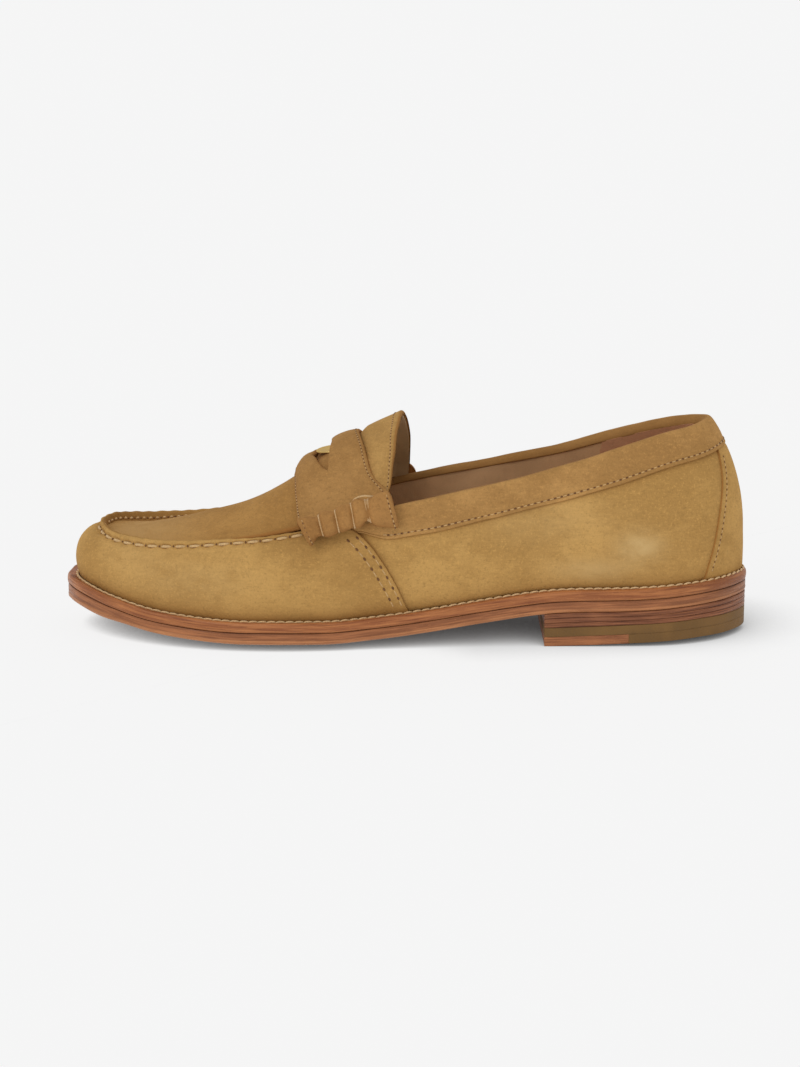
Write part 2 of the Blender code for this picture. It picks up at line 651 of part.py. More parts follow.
def build_rolls(looks):
    along = np.linspace(0, 1, 25)
    turn = np.linspace(0, 2 * math.pi, 12, endpoint=False)
    pinch = sum(np.exp(-(((along - wrap) / 0.035) ** 2)) for wrap in ROLL_WRAPS)
    flare = np.exp(-along / 0.07) + np.exp(-(1 - along) / 0.1)
    for side, (front, rear) in ROLLS.items():
        middle = np.array(front) + (np.array(rear) - np.array(front)) * along[:, None]
        depth = ROLL_RADII[0] * (1 - 0.16 * pinch - 0.25 * flare)
        height = ROLL_RADII[1] * (1 - 0.14 * pinch + 0.12 * flare)
        y = middle[:, 1, None] + depth[:, None] * np.cos(turn)
        z = middle[:, 2, None] + height[:, None] * np.sin(turn)
        x = middle[:, 0, None] + 0 * turn
        ring(f"beef_roll_{side}", np.stack([x, y, z], -1), looks["suede"], closed=False)


def build_coin(looks):
    mesh = bpy.data.meshes.new("coin")
    work = bmesh.new()
    bmesh.ops.create_cone(
        work, cap_ends=True, segments=32, radius1=COIN_RADIUS * MM, radius2=COIN_RADIUS * MM,
        depth=COIN_THICKNESS * MM,
    )
    work.to_mesh(mesh)
    work.free()
    coin = finished("coin", mesh, looks["coin"])
    coin.location = (Vector(COIN_CENTRE) - Vector(ORIGIN)) * MM
    coin.rotation_euler = (0.0, -COIN_SLOPE, 0.0)


def main():
    for old in list(bpy.data.objects):
        bpy.data.objects.remove(old)
    looks = {
        "suede": material("suede", (0.46, 0.27, 0.092), 0.9),
        "collar": material("collar_suede", (0.41, 0.22, 0.073), 0.9),
        "lining": material("lining_leather", (0.23, 0.11, 0.047), 0.6),
        "grip": material("grip_leather", (0.2, 0.098, 0.04), 0.8),
        "welt_leather": material("welt_leather", (0.35, 0.14, 0.06), 0.5),
        "sole_leather": material("sole_leather", (0.19, 0.073, 0.032), 0.5),
        "heel_leather": material("heel_leather", (0.28, 0.112, 0.051), 0.5),
        "rubber": material("olive_rubber", (0.153, 0.089, 0.037), 0.7),
        "cork": material("cork", (0.4, 0.25, 0.13), 0.9),
        "board": material("fibre_board", (0.5, 0.4, 0.28), 0.9),
        "foam": material("foam", (0.7, 0.62, 0.45), 0.95),
        "steel": material("steel", (0.5, 0.5, 0.5), 0.35, 1.0),
        "coin": material("coin_brass", (0.75, 0.5, 0.14), 0.3, 1.0),
    }
    build_bottom(looks)
    build_heel(looks)
    build_walls(looks)
    build_collar(looks)
    build_apron(looks)
    build_tongue(looks)
    build_strap(looks)
    build_rolls(looks)
    build_coin(looks)


PARTS = bpy.data.collections.new("penny_loafer")
CUTTERS = bpy.data.collections.new("cutters")
bpy.context.scene.collection.children.link(PARTS)
bpy.context.scene.collection.children.link(CUTTERS)
main()
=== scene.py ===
"""Looks of the left penny loafer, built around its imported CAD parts.

Shapes are worked out in millimetres on the part's own table frame and placed with ORIGIN.
Toe at -X, heel at +X, outer side at -Y.
"""

import json
import math

import bmesh
import bpy
import numpy as np
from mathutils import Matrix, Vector

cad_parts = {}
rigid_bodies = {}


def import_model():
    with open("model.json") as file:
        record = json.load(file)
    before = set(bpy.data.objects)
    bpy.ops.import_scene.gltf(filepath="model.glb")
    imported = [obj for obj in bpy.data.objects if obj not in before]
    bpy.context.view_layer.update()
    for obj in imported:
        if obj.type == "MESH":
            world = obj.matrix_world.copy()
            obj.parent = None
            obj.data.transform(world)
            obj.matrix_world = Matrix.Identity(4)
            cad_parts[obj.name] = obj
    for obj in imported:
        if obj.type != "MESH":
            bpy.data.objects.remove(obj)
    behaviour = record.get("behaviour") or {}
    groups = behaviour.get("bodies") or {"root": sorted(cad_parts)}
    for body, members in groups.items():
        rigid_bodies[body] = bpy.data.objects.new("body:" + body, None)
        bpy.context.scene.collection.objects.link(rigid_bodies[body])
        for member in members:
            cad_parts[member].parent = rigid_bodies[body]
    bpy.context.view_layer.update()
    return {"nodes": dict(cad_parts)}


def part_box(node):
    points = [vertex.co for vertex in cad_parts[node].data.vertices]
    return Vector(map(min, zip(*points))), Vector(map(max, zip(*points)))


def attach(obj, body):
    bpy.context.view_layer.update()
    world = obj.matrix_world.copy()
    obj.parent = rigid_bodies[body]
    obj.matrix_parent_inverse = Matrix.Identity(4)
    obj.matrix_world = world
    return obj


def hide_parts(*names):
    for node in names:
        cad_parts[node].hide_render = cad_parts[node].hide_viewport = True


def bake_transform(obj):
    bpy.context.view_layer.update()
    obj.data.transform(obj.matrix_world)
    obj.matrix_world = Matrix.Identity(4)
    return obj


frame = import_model()

MM = 0.001
ORIGIN = np.array([0.0, 5.1, 0.0])

# ---------------------------------------------------------------------------------------------
# Driving dimensions, as in the part's source.

OUTSOLE = 5.0
WELT_SEAM = 0.45
WELT = 4.2
FOOT_GAP = 0.5
BREAST_X = 59.0
HEEL_BACK_RISE = 2.8
HEEL_RISE = (64.0, 128.0)
TOP_PIECE = 4.1
RUBBER_LIFT = 3.9
LIFT_COUNT = 3
SOCK_TOP = 13.9
HEEL_PAD_RISE = 3.0

# Outsole edge x, y; wall top edge x, y and the seam's height z; welt left showing; roundness;
# bulge. From the toe tip round the outer side to the back (row 16) and home on the inner side.
STATIONS = np.array([
    (-150, 8, -135.5, 8, 44.5, 5.2, 1.0, 2.2),
    (-146, -8, -131.5, -6.5, 42.8, 5.2, 1.0, 2.0),
    (-136, -20.5, -124, -15.5, 41.6, 5.2, 1.0, 1.8),
    (-120, -31.8, -111.5, -23.5, 41.4, 5.2, 0.95, 1.5),
    (-100, -40, -95, -28, 42.1, 5.2, 0.9, 1.2),
    (-78, -45, -75, -31, 44.1, 5.0, 0.85, 1.0),
    (-55, -46.8, -54, -32.5, 46.6, 5.0, 0.8, 1.5),
    (-32, -45.4, -33, -33.5, 51.4, 5.0, 0.7, 2.0),
    (-8, -41.5, -10, -33.5, 60.0, 5.0, 0.55, 2.5),
    (14, -38, 14, -33, 65.5, 4.8, 0.45, 3.0),
    (38, -36, 40, -31, 71.0, 4.6, 0.4, 3.2),
    (64, -35.5, 65, -28.2, 77.2, 4.4, 0.4, 3.0),
    (90, -36, 88, -25, 84.0, 4.2, 0.45, 2.5),
    (114, -34.3, 108, -20.5, 89.8, 3.8, 0.5, 2.0),
    (134, -25.5, 123.5, -14.8, 92.8, 3.2, 0.5, 2.2),
    (146.2, -12, 131.2, -7.6, 94.2, 2.6, 0.5, 2.4),
    (150, 0, 133.5, 0, 94.6, 2.4, 0.5, 2.4),
    (146.2, 12, 131.2, 7.6, 94.2, 2.6, 0.5, 2.4),
    (134, 25.5, 123.5, 14.8, 92.8, 3.2, 0.5, 2.2),
    (114, 34, 108, 20, 89.3, 3.8, 0.5, 2.0),
    (90, 35, 88, 24.5, 83.3, 4.2, 0.45, 2.5),
    (64, 34, 65, 27, 76.6, 4.4, 0.4, 3.0),
    (38, 32, 40, 29, 71.0, 4.6, 0.4, 3.2),
    (14, 32, 14, 30, 65.7, 4.8, 0.45, 3.0),
    (-8, 36.5, -8, 31.5, 60.5, 5.0, 0.55, 2.5),
    (-32, 46, -32, 34.5, 51.8, 5.0, 0.7, 2.0),
    (-55, 54.5, -54, 38, 46.9, 5.0, 0.8, 1.5),
    (-78, 57, -76, 40.5, 43.9, 5.0, 0.85, 1.0),
    (-100, 54.5, -96, 40, 41.9, 5.2, 0.9, 1.0),
    (-120, 46.5, -112, 37, 41.4, 5.2, 0.95, 1.5),
    (-136, 34.5, -125, 29.5, 42.4, 5.2, 1.0, 1.8),
    (-146, 22, -132.5, 20, 44.0, 5.2, 1.0, 2.0),
], float)
ROUND = len(STATIONS)
BACK = ROUND // 2

TREAD = [(-150, 13.6), (-128, 8.2), (-111, 4.0), (-94, 1.6), (-68, 0.0), (-36, 0.0),
         (-15, 1.6), (10, 5.2), (34, 9.6), (59, 13.8), (100, 15.6), (150, 17.6)]
EDGE_LIFT = [(-150, 1.4), (-120, 2.6), (-90, 3.4), (-60, 3.6), (-20, 3.2), (15, 1.6), (50, 0.4),
             (150, 0.0)]

VAMP_REAR = (8.46, 7.22)
BACKSTAY_FRONT = (13.8, 15.2)
GRIP_FRONT = (11.6, 12.0)
COLLAR_DROP = [(7.6, 0.74), (7.75, 0.69), (7.95, 0.63), (8.25, 0.6), (8.8, 0.602), (9.6, 0.622),
               (10.4, 0.638), (12.0, 0.655), (13.0, 0.68), (14.2, 0.705), (15.3, 0.73), (16.0, 0.735)]

# Raised seam round the apron: height of its crest, and how deep the apron lies inside it, by
# stations from the toe tip; negative stations are on the inner side.
CREST = [(-8, 60.9), (-7, 53.2), (-6, 48.6), (-5, 46.0), (-4, 44.6), (-3, 44.5), (-2, 45.8),
         (-1, 47.2), (0, 47.0), (1, 45.9), (2, 44.8), (3, 44.4), (4, 44.7), (5, 46.1), (6, 48.3),
         (7, 52.8), (8, 60.9)]
RECESS = [(0, 3.6), (2, 3.7), (3.2, 3.6), (4.2, 2.7), (5, 1.7), (6, 0.9), (7, 0.5)]
APRON_CENTRE = [(-136, 43.4), (-124, 43.6), (-111, 45.0), (-95, 47.9), (-78, 52.7), (-65, 57.7),
                (-54, 63.4), (-47, 67.8), (-40, 70.6), (-33, 74.0), (-22, 76.5)]
APRON_INSET = 3.4

STRAP_SHARES = [0.0, 0.27, 0.55, 1.0]
STRAP_RAILS = [
    [(-43.4, -38.9, 50.8), (-46.3, -34.2, 55.5), (-47.8, -21, 60.8), (-48.5, -10, 65.6),
     (-48.9, 2.5, 67.6), (-48.5, 14, 65.8), (-47.5, 25, 61.4), (-45.5, 37, 53.4),
     (-44.5, 43.0, 50.5)],
    [(-38, -39, 51.0), (-39.5, -34.8, 54.5), (-42.5, -19, 68.6), (-41.5, -9, 76.3),
     (-41.2, 1.8, 78.0), (-41.2, 12.5, 76.4), (-41, 22.5, 69.8), (-38, 37.6, 56),
     (-36.5, 42, 51.0)],
    [(-24, -38.6, 55.0), (-27, -34.8, 58.5), (-33.5, -19.5, 73.5), (-33.3, -9, 81.5),
     (-33.1, 1.5, 82.9), (-33, 12, 81.5), (-32, 22.5, 74.0), (-27, 36.2, 60),
     (-25, 40, 55.0)],
    [(-4.5, -38, 58.5), (-6.6, -31.8, 66.5), (-14, -24.5, 73.2), (-18, -13, 83.8),
     (-20.6, 2, 88.6), (-17.5, 17, 83.6), (-11.6, 27.4, 74.6), (3.0, 35.0, 66.4),
     (5.4, 39.4, 56.0)],
]
SLIT_HALF = 0.5
SLIT_SHARES = (0.27, 0.55)

# Thickness of each leather and stitch length of each row of threads.
THICK = {"vamp": 1.25, "apron": 1.3, "quarter": 1.3, "backstay": 1.2, "strap": 1.35, "tongue": 1.3,
         "lining": 0.9, "sock": 1.1}
PITCH = {"apron": 6.3, "backstay": 2.4, "collar": 2.9, "strap": 1.9, "tongue": 1.75, "roll": 2.0,
         "vamp": 5.0, "welt": 3.9}
# About how far apart two stations are; how far before the vamp's rear edge the collar starts, in
# stations; the length and height the vamp is laid out over; how far in from the sole's edge the
# sock and the heel pad end; how much painted shade darkens the sole's edge toward the back.
STATION_PITCH = 24.0
COLLAR_START = 0.02
VAMP_LENGTH = 430.0
VAMP_HEIGHT = 46.0
SOCK_INSET = 9.2
PAD_INSET = 11.0
BACK_SHADE = 0.22
COIN_THICK = 1.0
COIN_SIDES = 128

TONGUE_RAILS = [
    [(-13.5, -28.8, 63.0), (-13.4, -26.8, 69.4), (-14.0, -22.4, 76.2), (-17.4, -12.5, 83.6),
     (-19.7, 2, 87.8), (-16.4, 16.8, 83.2), (-11.2, 25.2, 74.9), (-5.5, 29.8, 69), (-5.8, 31.2, 62)],
    [(-8.2, -29.2, 64.4), (-6.6, -28, 70.6), (-5.6, -23.6, 82.5), (-4.2, -13, 92.3), (-2, 2, 96.6),
     (0, 15.5, 92.3), (1.7, 24.5, 82.5), (2, 29.5, 70), (1.6, 31.2, 62)],
]


# Studio: sky and floor brightness, how far the floor's painted soft shadow reaches and where
# its light comes from, the lamps (name, power, angle, direction), and the camera.
SKY = 0.66
FLOOR_HALF = 40
FLOOR_GLOW = 0.845
FLOOR_REACH = 0.06
FLOOR_FACING = (-0.22, -0.42, 1.0)
SUNS = [("key", 0.62, 30, (-0.6, -1.0, 0.8)), ("rear", 0.08, 60, (0.4, 0.8, 0.7))]
CAMERA_LENS = 84.4
CAMERA_TARGET = (-0.0025, -ORIGIN[1] * MM, 0.0419)
CAMERA_DISTANCE = 1.1
CAMERA_TILT = math.radians(12.5)


# ---------------------------------------------------------------------------------------------
# Shape functions.

def hermite(a, b, slope_a, slope_b, width, t):
    """Value at t, 0 to 1, between a and b, which are width apart and have these slopes."""
    return (a * (1 + 2 * t) * (1 - t) ** 2 + b * t * t * (3 - 2 * t)
            + width * (slope_a * t * (1 - t) ** 2 - slope_b * t * t * (1 - t)))


def spline(a, b, c, d, f):
    """Value at f, 0 to 1, between b and c, on a smooth curve through a, b, c and d."""
    return b + 0.5 * f * (c - a + f * (2 * a - 5 * b + 4 * c - d + f * (3 * (b - c) + d - a)))


def extended(points):
    """The points with one more at each end, straight on."""
    return np.concatenate([[2 * points[0] - points[1]], points, [2 * points[-1] - points[-2]]])


def travel(line):
    """Distance of each point of a line from its first one."""
    return np.concatenate([[0], np.cumsum(np.linalg.norm(np.diff(line, axis=0), axis=1))])


def smooth(table, x):
    """Value of a smooth curve through the table's (x, value) points, flat past its ends."""
    xs, ys = np.array(table, float).T
    x = np.clip(x, xs[0], xs[-1])
    slopes = np.gradient(ys, xs)
    steps = np.diff(ys) / np.diff(xs)
    turns = np.concatenate([[True], steps[:-1] * steps[1:] <= 0, [True]])
    slopes[turns] = 0
    i = np.clip(np.searchsorted(xs, x, side="right") - 1, 0, len(xs) - 2)
    width = xs[i + 1] - xs[i]
    return hermite(ys[i], ys[i + 1], slopes[i], slopes[i + 1], width, (x - xs[i]) / width)


def ease(x):
    """Soft step from 0 to 1."""
    x = np.clip(x, 0, 1)
    return x * x * (3 - 2 * x)


def circle(count):
    """Angles evenly round a circle."""
    return np.linspace(0, 2 * math.pi, count, endpoint=False)


def unit(vectors):
    return vectors / np.maximum(np.linalg.norm(vectors, axis=-1, keepdims=True), 1e-12)


def rail_curve(points, t):
    """Point at t, -1 to 1, on a smooth curve through evenly numbered points."""
    points = np.array(points, float)
    last = len(points) - 1
    longer = extended(points)
    place = (np.asarray(t, float) + 1) / 2 * last
    i = np.clip(np.floor(place).astype(int), 0, last - 1)
    return spline(*(longer[i + k] for k in range(4)), (place - i)[..., None])


def strap_face(share, t):
    """Point of the strap's outer face: share 0 to 1 from front to rear, t -1 to 1 across."""
    rails = np.stack([rail_curve(rail, t) for rail in STRAP_RAILS])
    knots = np.array(STRAP_SHARES)
    slopes = np.gradient(rails, knots, axis=0)
    share = np.asarray(share, float)
    i = np.clip(np.searchsorted(knots, share, side="right") - 1, 0, len(knots) - 2)
    width = (knots[i + 1] - knots[i])[..., None]
    f = (share - knots[i])[..., None] / width

    def pick(values, k):
        return np.take_along_axis(values, k[None, ..., None], axis=0)[0]

    point = hermite(pick(rails, i), pick(rails, i + 1), pick(slopes, i), pick(slopes, i + 1), width, f)
    puff = np.sin(math.pi * np.clip(share / 0.27, 0, 1)) * np.clip(1 - t**2, 0, 1)
    point[..., 0] -= 1.2 * puff
    rear = np.sin(math.pi * np.clip((share - 0.5) / 0.5, 0, 1)) * np.clip(1 - t**2, 0, 1)
    point[..., 2] += 0.9 * puff + 1.1 * rear
    return point


def tongue_face(share, t):
    """Point of the tongue's outer face: share 0 at the strap to 1 at the free edge."""
    front, rear = (rail_curve(rail, t) for rail in TONGUE_RAILS)
    return front + (rear - front) * np.asarray(share)[..., None]


def station(u):
    """Rows of the station table at u, on a closed smooth curve through all of them."""
    u = np.asarray(u, float) % ROUND
    i = np.floor(u).astype(int)
    return spline(*(STATIONS[(i + k) % ROUND] for k in (-1, 0, 1, 2)), (u - i)[..., None])


def edge(u, inset=0.0):
    """Point x, y of the outsole's edge at station u, moved in by inset."""
    step = 0.01
    along = unit(station(u + step)[..., :2] - station(u - step)[..., :2])
    outward = np.stack([along[..., 1], -along[..., 0]], -1)
    return station(u)[..., :2] - outward * np.asarray(inset)[..., None]


SOLE_OUTER = edge(np.linspace(0, BACK, 513))
SOLE_INNER = edge(np.linspace(ROUND, BACK, 513))


def tread(x, y):
    """Height of the sole's walking face at x, y."""
    low = np.interp(x, SOLE_OUTER[:, 0], SOLE_OUTER[:, 1])
    high = np.interp(x, SOLE_INNER[:, 0], SOLE_INNER[:, 1])
    across = np.abs(2 * y - low - high) / np.maximum(high - low, 20.0)
    return smooth(TREAD, x) + smooth(EDGE_LIFT, x) * np.clip(1.5 * across - 0.5, 0, 1) ** 1.7


def on_sole(plan, height):
    """Points of the plan at a height above the tread."""
    z = tread(plan[..., 0], plan[..., 1]) + height
    return np.concatenate([plan, z[..., None]], -1)


def wall_face(u, v):
    """Point of the upper's outer face: u round the shoe, v from the welt up to the top edge."""
    row = station(u)
    foot = edge(u, row[..., 5])
    top = row[..., 2:5]
    foot_z = tread(foot[..., 0], foot[..., 1]) + OUTSOLE + WELT_SEAM + WELT + FOOT_GAP
    roundness, bulge = row[..., 6], row[..., 7]
    inward = (1 - roundness) * v + roundness * (1 - np.cos(v * math.pi / 2))
    upward = (1 - roundness) * v + roundness * np.sin(v * math.pi / 2)
    out = foot - edge(u, row[..., 5] + 1.0)
    flat = foot + (top[..., :2] - foot) * inward[..., None]
    flat = flat + out * (bulge * np.sin(v * math.pi) * (1.5 - v))[..., None]
    back = ease((3.6 - np.abs(u % ROUND - BACK)) / 2.6) * ease((v - 0.5) / 0.4)
    flat = flat - unit(out) * (1.9 * back)[..., None]
    return np.concatenate([flat, (foot_z + (top[..., 2] - foot_z) * upward)[..., None]], -1)


def wall_normal(u, v):
    step = 0.004
    along = wall_face(u + step, v) - wall_face(u - step, v)
    up = wall_face(u, v + step) - wall_face(u, v - step)
    return unit(np.cross(along, up))


def wall(u, v, depth):
    """As wall_face, moved in by depth."""
    return wall_face(u, v) - wall_normal(u, v) * np.asarray(depth)[..., None]


def worn_wall(u, v, depth, bend):
    """As wall, with bend(points) more outward, and its normals."""
    point, normal = wall(u, v, depth), wall_normal(u, v)
    return point + normal * bend(point)[..., None], normal


def seam(u, inset):
    """Point of the wall's top edge at station u, moved in by inset."""
    step = 0.01
    along = unit(station(u + step)[..., 2:4] - station(u - step)[..., 2:4])
    inward = np.stack([-along[..., 1], along[..., 0], 0 * along[..., 0]], -1)
    return station(u)[..., 2:5] + inward * np.asarray(inset)[..., None]


def seam_out(s):
    """Outward direction of the raised seam at station s."""
    return unit(seam(s, 0) - seam(s, 1))


def crest(s):
    return smooth(CREST, s)


def recess(s):
    return smooth(RECESS, np.abs(s))


def apron_face(s, t):
    """Point of the apron's outer face: s stations back from the toe tip, t -1 to 1 across."""
    outer, inner = seam(s, APRON_INSET), seam(-s, APRON_INSET)
    outer[..., 2] = crest(s) - recess(s)
    inner[..., 2] = crest(-s) - recess(s)
    share = ((t + 1) / 2)[..., None]
    point = outer + (inner - outer) * share
    middle = (outer[..., 2] + inner[..., 2]) / 2
    rise = smooth(APRON_CENTRE, point[..., 0]) - middle
    full = 1 - 0.94 * t**2
    soft = np.clip(1 - t**2, 0, 1) ** 1.6
    point[..., 2] += rise * (soft + (full - soft) * ease((s - 3.2) / 2.6))
    return point


def ripple(points, size, seed):
    """Repeatable unevenness, about -1 to 1, with features of about size millimetres."""
    draw = np.random.default_rng(seed)
    waves = unit(draw.normal(size=(12, 3))) * (2 * math.pi / size)
    waves *= draw.uniform(0.55, 1.7, size=(12, 1))
    phases = draw.uniform(0, 2 * math.pi, size=12)
    return np.sin(points @ waves.T + phases).sum(-1) / 4.2


def sway(points):
    """Gentle unevenness of worn leather, the same for every piece of the upper."""
    return ripple(points, 34, 3) * 0.17 + ripple(points, 13, 4) * 0.05


def grid_normal(points):
    """Normals of a grid of points, from its rows and columns."""
    return unit(np.cross(np.gradient(points, axis=1), np.gradient(points, axis=0)))


def spaced(length, step, ends=(0.0, 0.1, 0.3, 0.6, 1.0)):
    """Distances from 0 to length, closer together at both ends."""
    near = [e for e in ends if e < length / 3]
    count = max(2, int(round((length - 2 * near[-1]) / step)) + 1)
    middle = np.linspace(near[-1], length - near[-1], count)
    return np.concatenate([near[:-1], middle, length - np.array(near[:-1])[::-1]])


def rounding(distance, length, radius):
    """How far a face drops at a distance from the nearer end of its length."""
    near = np.clip(np.minimum(distance, length - distance), 0, radius)
    return radius - np.sqrt(np.maximum(radius**2 - (radius - near) ** 2, 0))


def resample(points, step):
    """Evenly spaced points along a line of points."""
    along = travel(points)
    count = max(2, int(round(along[-1] / step)) + 1)
    places = np.linspace(0, along[-1], count)
    return np.stack([np.interp(places, along, points[:, k]) for k in range(points.shape[1])], 1)


# ---------------------------------------------------------------------------------------------
# Materials.

def linear(colour):
    """Linear colour of 0 to 255 display values."""
    c = np.array(colour, float) / 255
    return tuple(np.where(c <= 0.04045, c / 12.92, ((c + 0.055) / 1.055) ** 2.4))


def tone(base, factor):
    """Lighter or darker colour, kept within white."""
    return tuple(np.minimum(base * factor, 1))


class Nodes:
    """Small helper for putting a material's nodes together."""

    def __init__(self, name):
        self.material = bpy.data.materials.new(name)
        self.material.use_nodes = True
        self.tree = self.material.node_tree
        self.shader = self.tree.nodes["Principled BSDF"]
        self.place = self.new("ShaderNodeTexCoord").outputs["Object"]

    def new(self, kind, **settings):
        node = self.tree.nodes.new(kind)
        for key, value in settings.items():
            setattr(node, key, value)
        return node

    def put(self, socket, value):
        if isinstance(value, bpy.types.NodeSocket):
            self.tree.links.new(value, socket)
        elif isinstance(value, (tuple, list)) and len(value) == 3 and socket.type == "RGBA":
            socket.default_value = (*value, 1.0)
        else:
            socket.default_value = value

    def noise(self, scale, detail=2.0, roughness=0.5, stretch=(1, 1, 1), where=None, distortion=0.0):
        mapping = self.new("ShaderNodeMapping")
        self.put(mapping.inputs["Vector"], where or self.place)
        mapping.inputs["Scale"].default_value = stretch
        node = self.new("ShaderNodeTexNoise")
        self.put(node.inputs["Vector"], mapping.outputs["Vector"])
        for key, value in (("Scale", scale), ("Detail", detail), ("Roughness", roughness),
                           ("Distortion", distortion)):
            node.inputs[key].default_value = value
        return node.outputs["Fac"]

    def value(self, name):
        return self.new("ShaderNodeAttribute", attribute_name=name).outputs["Fac"]

    def math(self, kind, a, b=0.0, clamp=False):
        node = self.new("ShaderNodeMath", operation=kind, use_clamp=clamp)
        self.put(node.inputs[0], a)
        self.put(node.inputs[1], b)
        return node.outputs[0]

    def span(self, value, low, high, to_low=0.0, to_high=1.0):
        node = self.new("ShaderNodeMapRange", interpolation_type="SMOOTHSTEP")
        self.put(node.inputs["Value"], value)
        for key, number in (("From Min", low), ("From Max", high), ("To Min", to_low),
                            ("To Max", to_high)):
            node.inputs[key].default_value = number
        return node.outputs["Result"]

    def mix(self, share, a, b, blend="MIX"):
        node = self.new("ShaderNodeMix", data_type="RGBA", blend_type=blend)
        self.put(node.inputs["Factor"], share)
        self.put(node.inputs[6], a)
        self.put(node.inputs[7], b)
        return node.outputs[2]

    def tint(self, body, value, span, colour):
        """The body with a colour over it, by how far the value is through the span."""
        return self.mix(self.span(value, *span), body, colour)

    def sum(self, a, a_share, b, b_share):
        return self.math("ADD", self.math("MULTIPLY", a, a_share), self.math("MULTIPLY", b, b_share))

    def bump(self, height, distance, strength=1.0, after=None):
        node = self.new("ShaderNodeBump")
        self.put(node.inputs["Height"], height)
        node.inputs["Distance"].default_value = distance
        node.inputs["Strength"].default_value = strength
        if after is not None:
            self.put(node.inputs["Normal"], after)
        return node.outputs["Normal"]

    def finish(self, colour, roughness, normal=None, **settings):
        self.put(self.shader.inputs["Base Color"], colour)
        self.put(self.shader.inputs["Roughness"], roughness)
        if normal is not None:
            self.put(self.shader.inputs["Normal"], normal)
        for key, value in settings.items():
            self.put(self.shader.inputs[key.replace("_", " ")], value)
        return self.material


def suede(name, colour, nap=1.0, contrast=1.0):
    """Short-napped suede: attribute soil darkens, for dirt and for painted shade; worn lightens, rim is
    the raw cut edge.
    """
    n = Nodes(name)
    base = np.array(linear(colour))
    patches = n.noise(24, 3, 0.5, (1.0, 1.0, 1.3), distortion=0.4)
    brushed = n.noise(110, 4, 0.55, (1.0, 1.0, 1.5), distortion=0.5)
    mottle = n.noise(700, 3, 0.6)
    grain = n.noise(1500, 3, 0.7)
    dark = tuple(base * (1 - 0.25 * contrast) * (1.02, 0.97, 0.92))
    light = tuple(np.minimum(base * (1 + 0.17 * contrast) * (1.0, 1.02, 1.06), 1))
    shade = n.sum(patches, 0.7, brushed, 0.3)
    body = n.mix(n.span(shade, 0.38, 0.62), dark, light)
    body = n.mix(0.35, body, tuple(base))
    speck = n.sum(mottle, 0.45, grain, 0.55)
    body = n.tint(body, speck, (0.34, 0.49, 0.55, 0.0), tone(base, 0.60))
    body = n.tint(body, speck, (0.51, 0.68, 0.0, 0.50), tone(base, 1.45))
    lines = n.noise(1.0, 3, 0.6, (230, 230, 1250))
    body = n.tint(body, lines, (0.34, 0.48, 0.18, 0.0), tone(base, 0.66))
    body = n.tint(body, lines, (0.54, 0.70, 0.0, 0.18), tone(base, 1.35))
    worn = n.math("MULTIPLY", n.value("worn"), n.span(brushed, 0.25, 0.6, 0.55, 1.0))
    body = n.mix(n.math("MULTIPLY", worn, 0.85, True), body, tone(base, (1.2, 1.38, 1.85)))
    uneven = n.math("MULTIPLY", n.math("SUBTRACT", brushed, 0.5), 0.10)
    # Darkening by attribute: real dirt and painted shade.
    body = n.mix(n.math("MAXIMUM", n.math("ADD", n.value("soil_and_shade"), uneven), 0.0, True), body,
                 tone(base, (0.52, 0.42, 0.34)))
    body = n.mix(n.math("MULTIPLY", n.value("rim"), 0.65), body, tone(base, (0.84, 0.66, 0.56)))
    coarse = n.bump(brushed, 0.0004, 0.3)
    middle = n.bump(mottle, 0.00035 * nap, 0.5, coarse)
    fine = n.bump(grain, 0.00025 * nap, 0.7, middle)
    return n.finish(body, n.span(mottle, 0.3, 0.7, 0.86, 0.98), fine, Sheen_Weight=0.15,
                    Sheen_Roughness=0.5, Sheen_Tint=tone(base, 1.9),
                    Specular_IOR_Level=0.12)


def smooth_leather(name, colour, rough=0.5, grain=1.0):
    """Lining leather with fine pores and soft creases."""
    n = Nodes(name)
    base = np.array(linear(colour))
    patches = n.noise(30, 3, 0.5, distortion=0.8)
    creases = n.noise(160, 4, 0.65, (1, 1, 0.6), distortion=1.6)
    pores = n.noise(1900, 2, 0.6)
    body = n.mix(n.span(patches, 0.35, 0.65), tone(base, 0.86), tone(base, 1.12))
    body = n.tint(body, creases, (0.5, 0.75, 0.0, 0.35), tone(base, 0.75))
    body = n.tint(body, pores, (0.55, 0.75, 0.0, 0.3), tone(base, 0.7))
    # Darkening by attribute: real dirt and painted shade.
    body = n.mix(n.value("soil_and_shade"), body, tone(base, 0.45))
    bump = n.bump(pores, 0.00012 * grain, 0.6, n.bump(creases, 0.0005 * grain, 0.4))
    return n.finish(body, n.span(patches, 0.3, 0.7, rough - 0.06, rough + 0.08), bump,
                    Specular_IOR_Level=0.4)


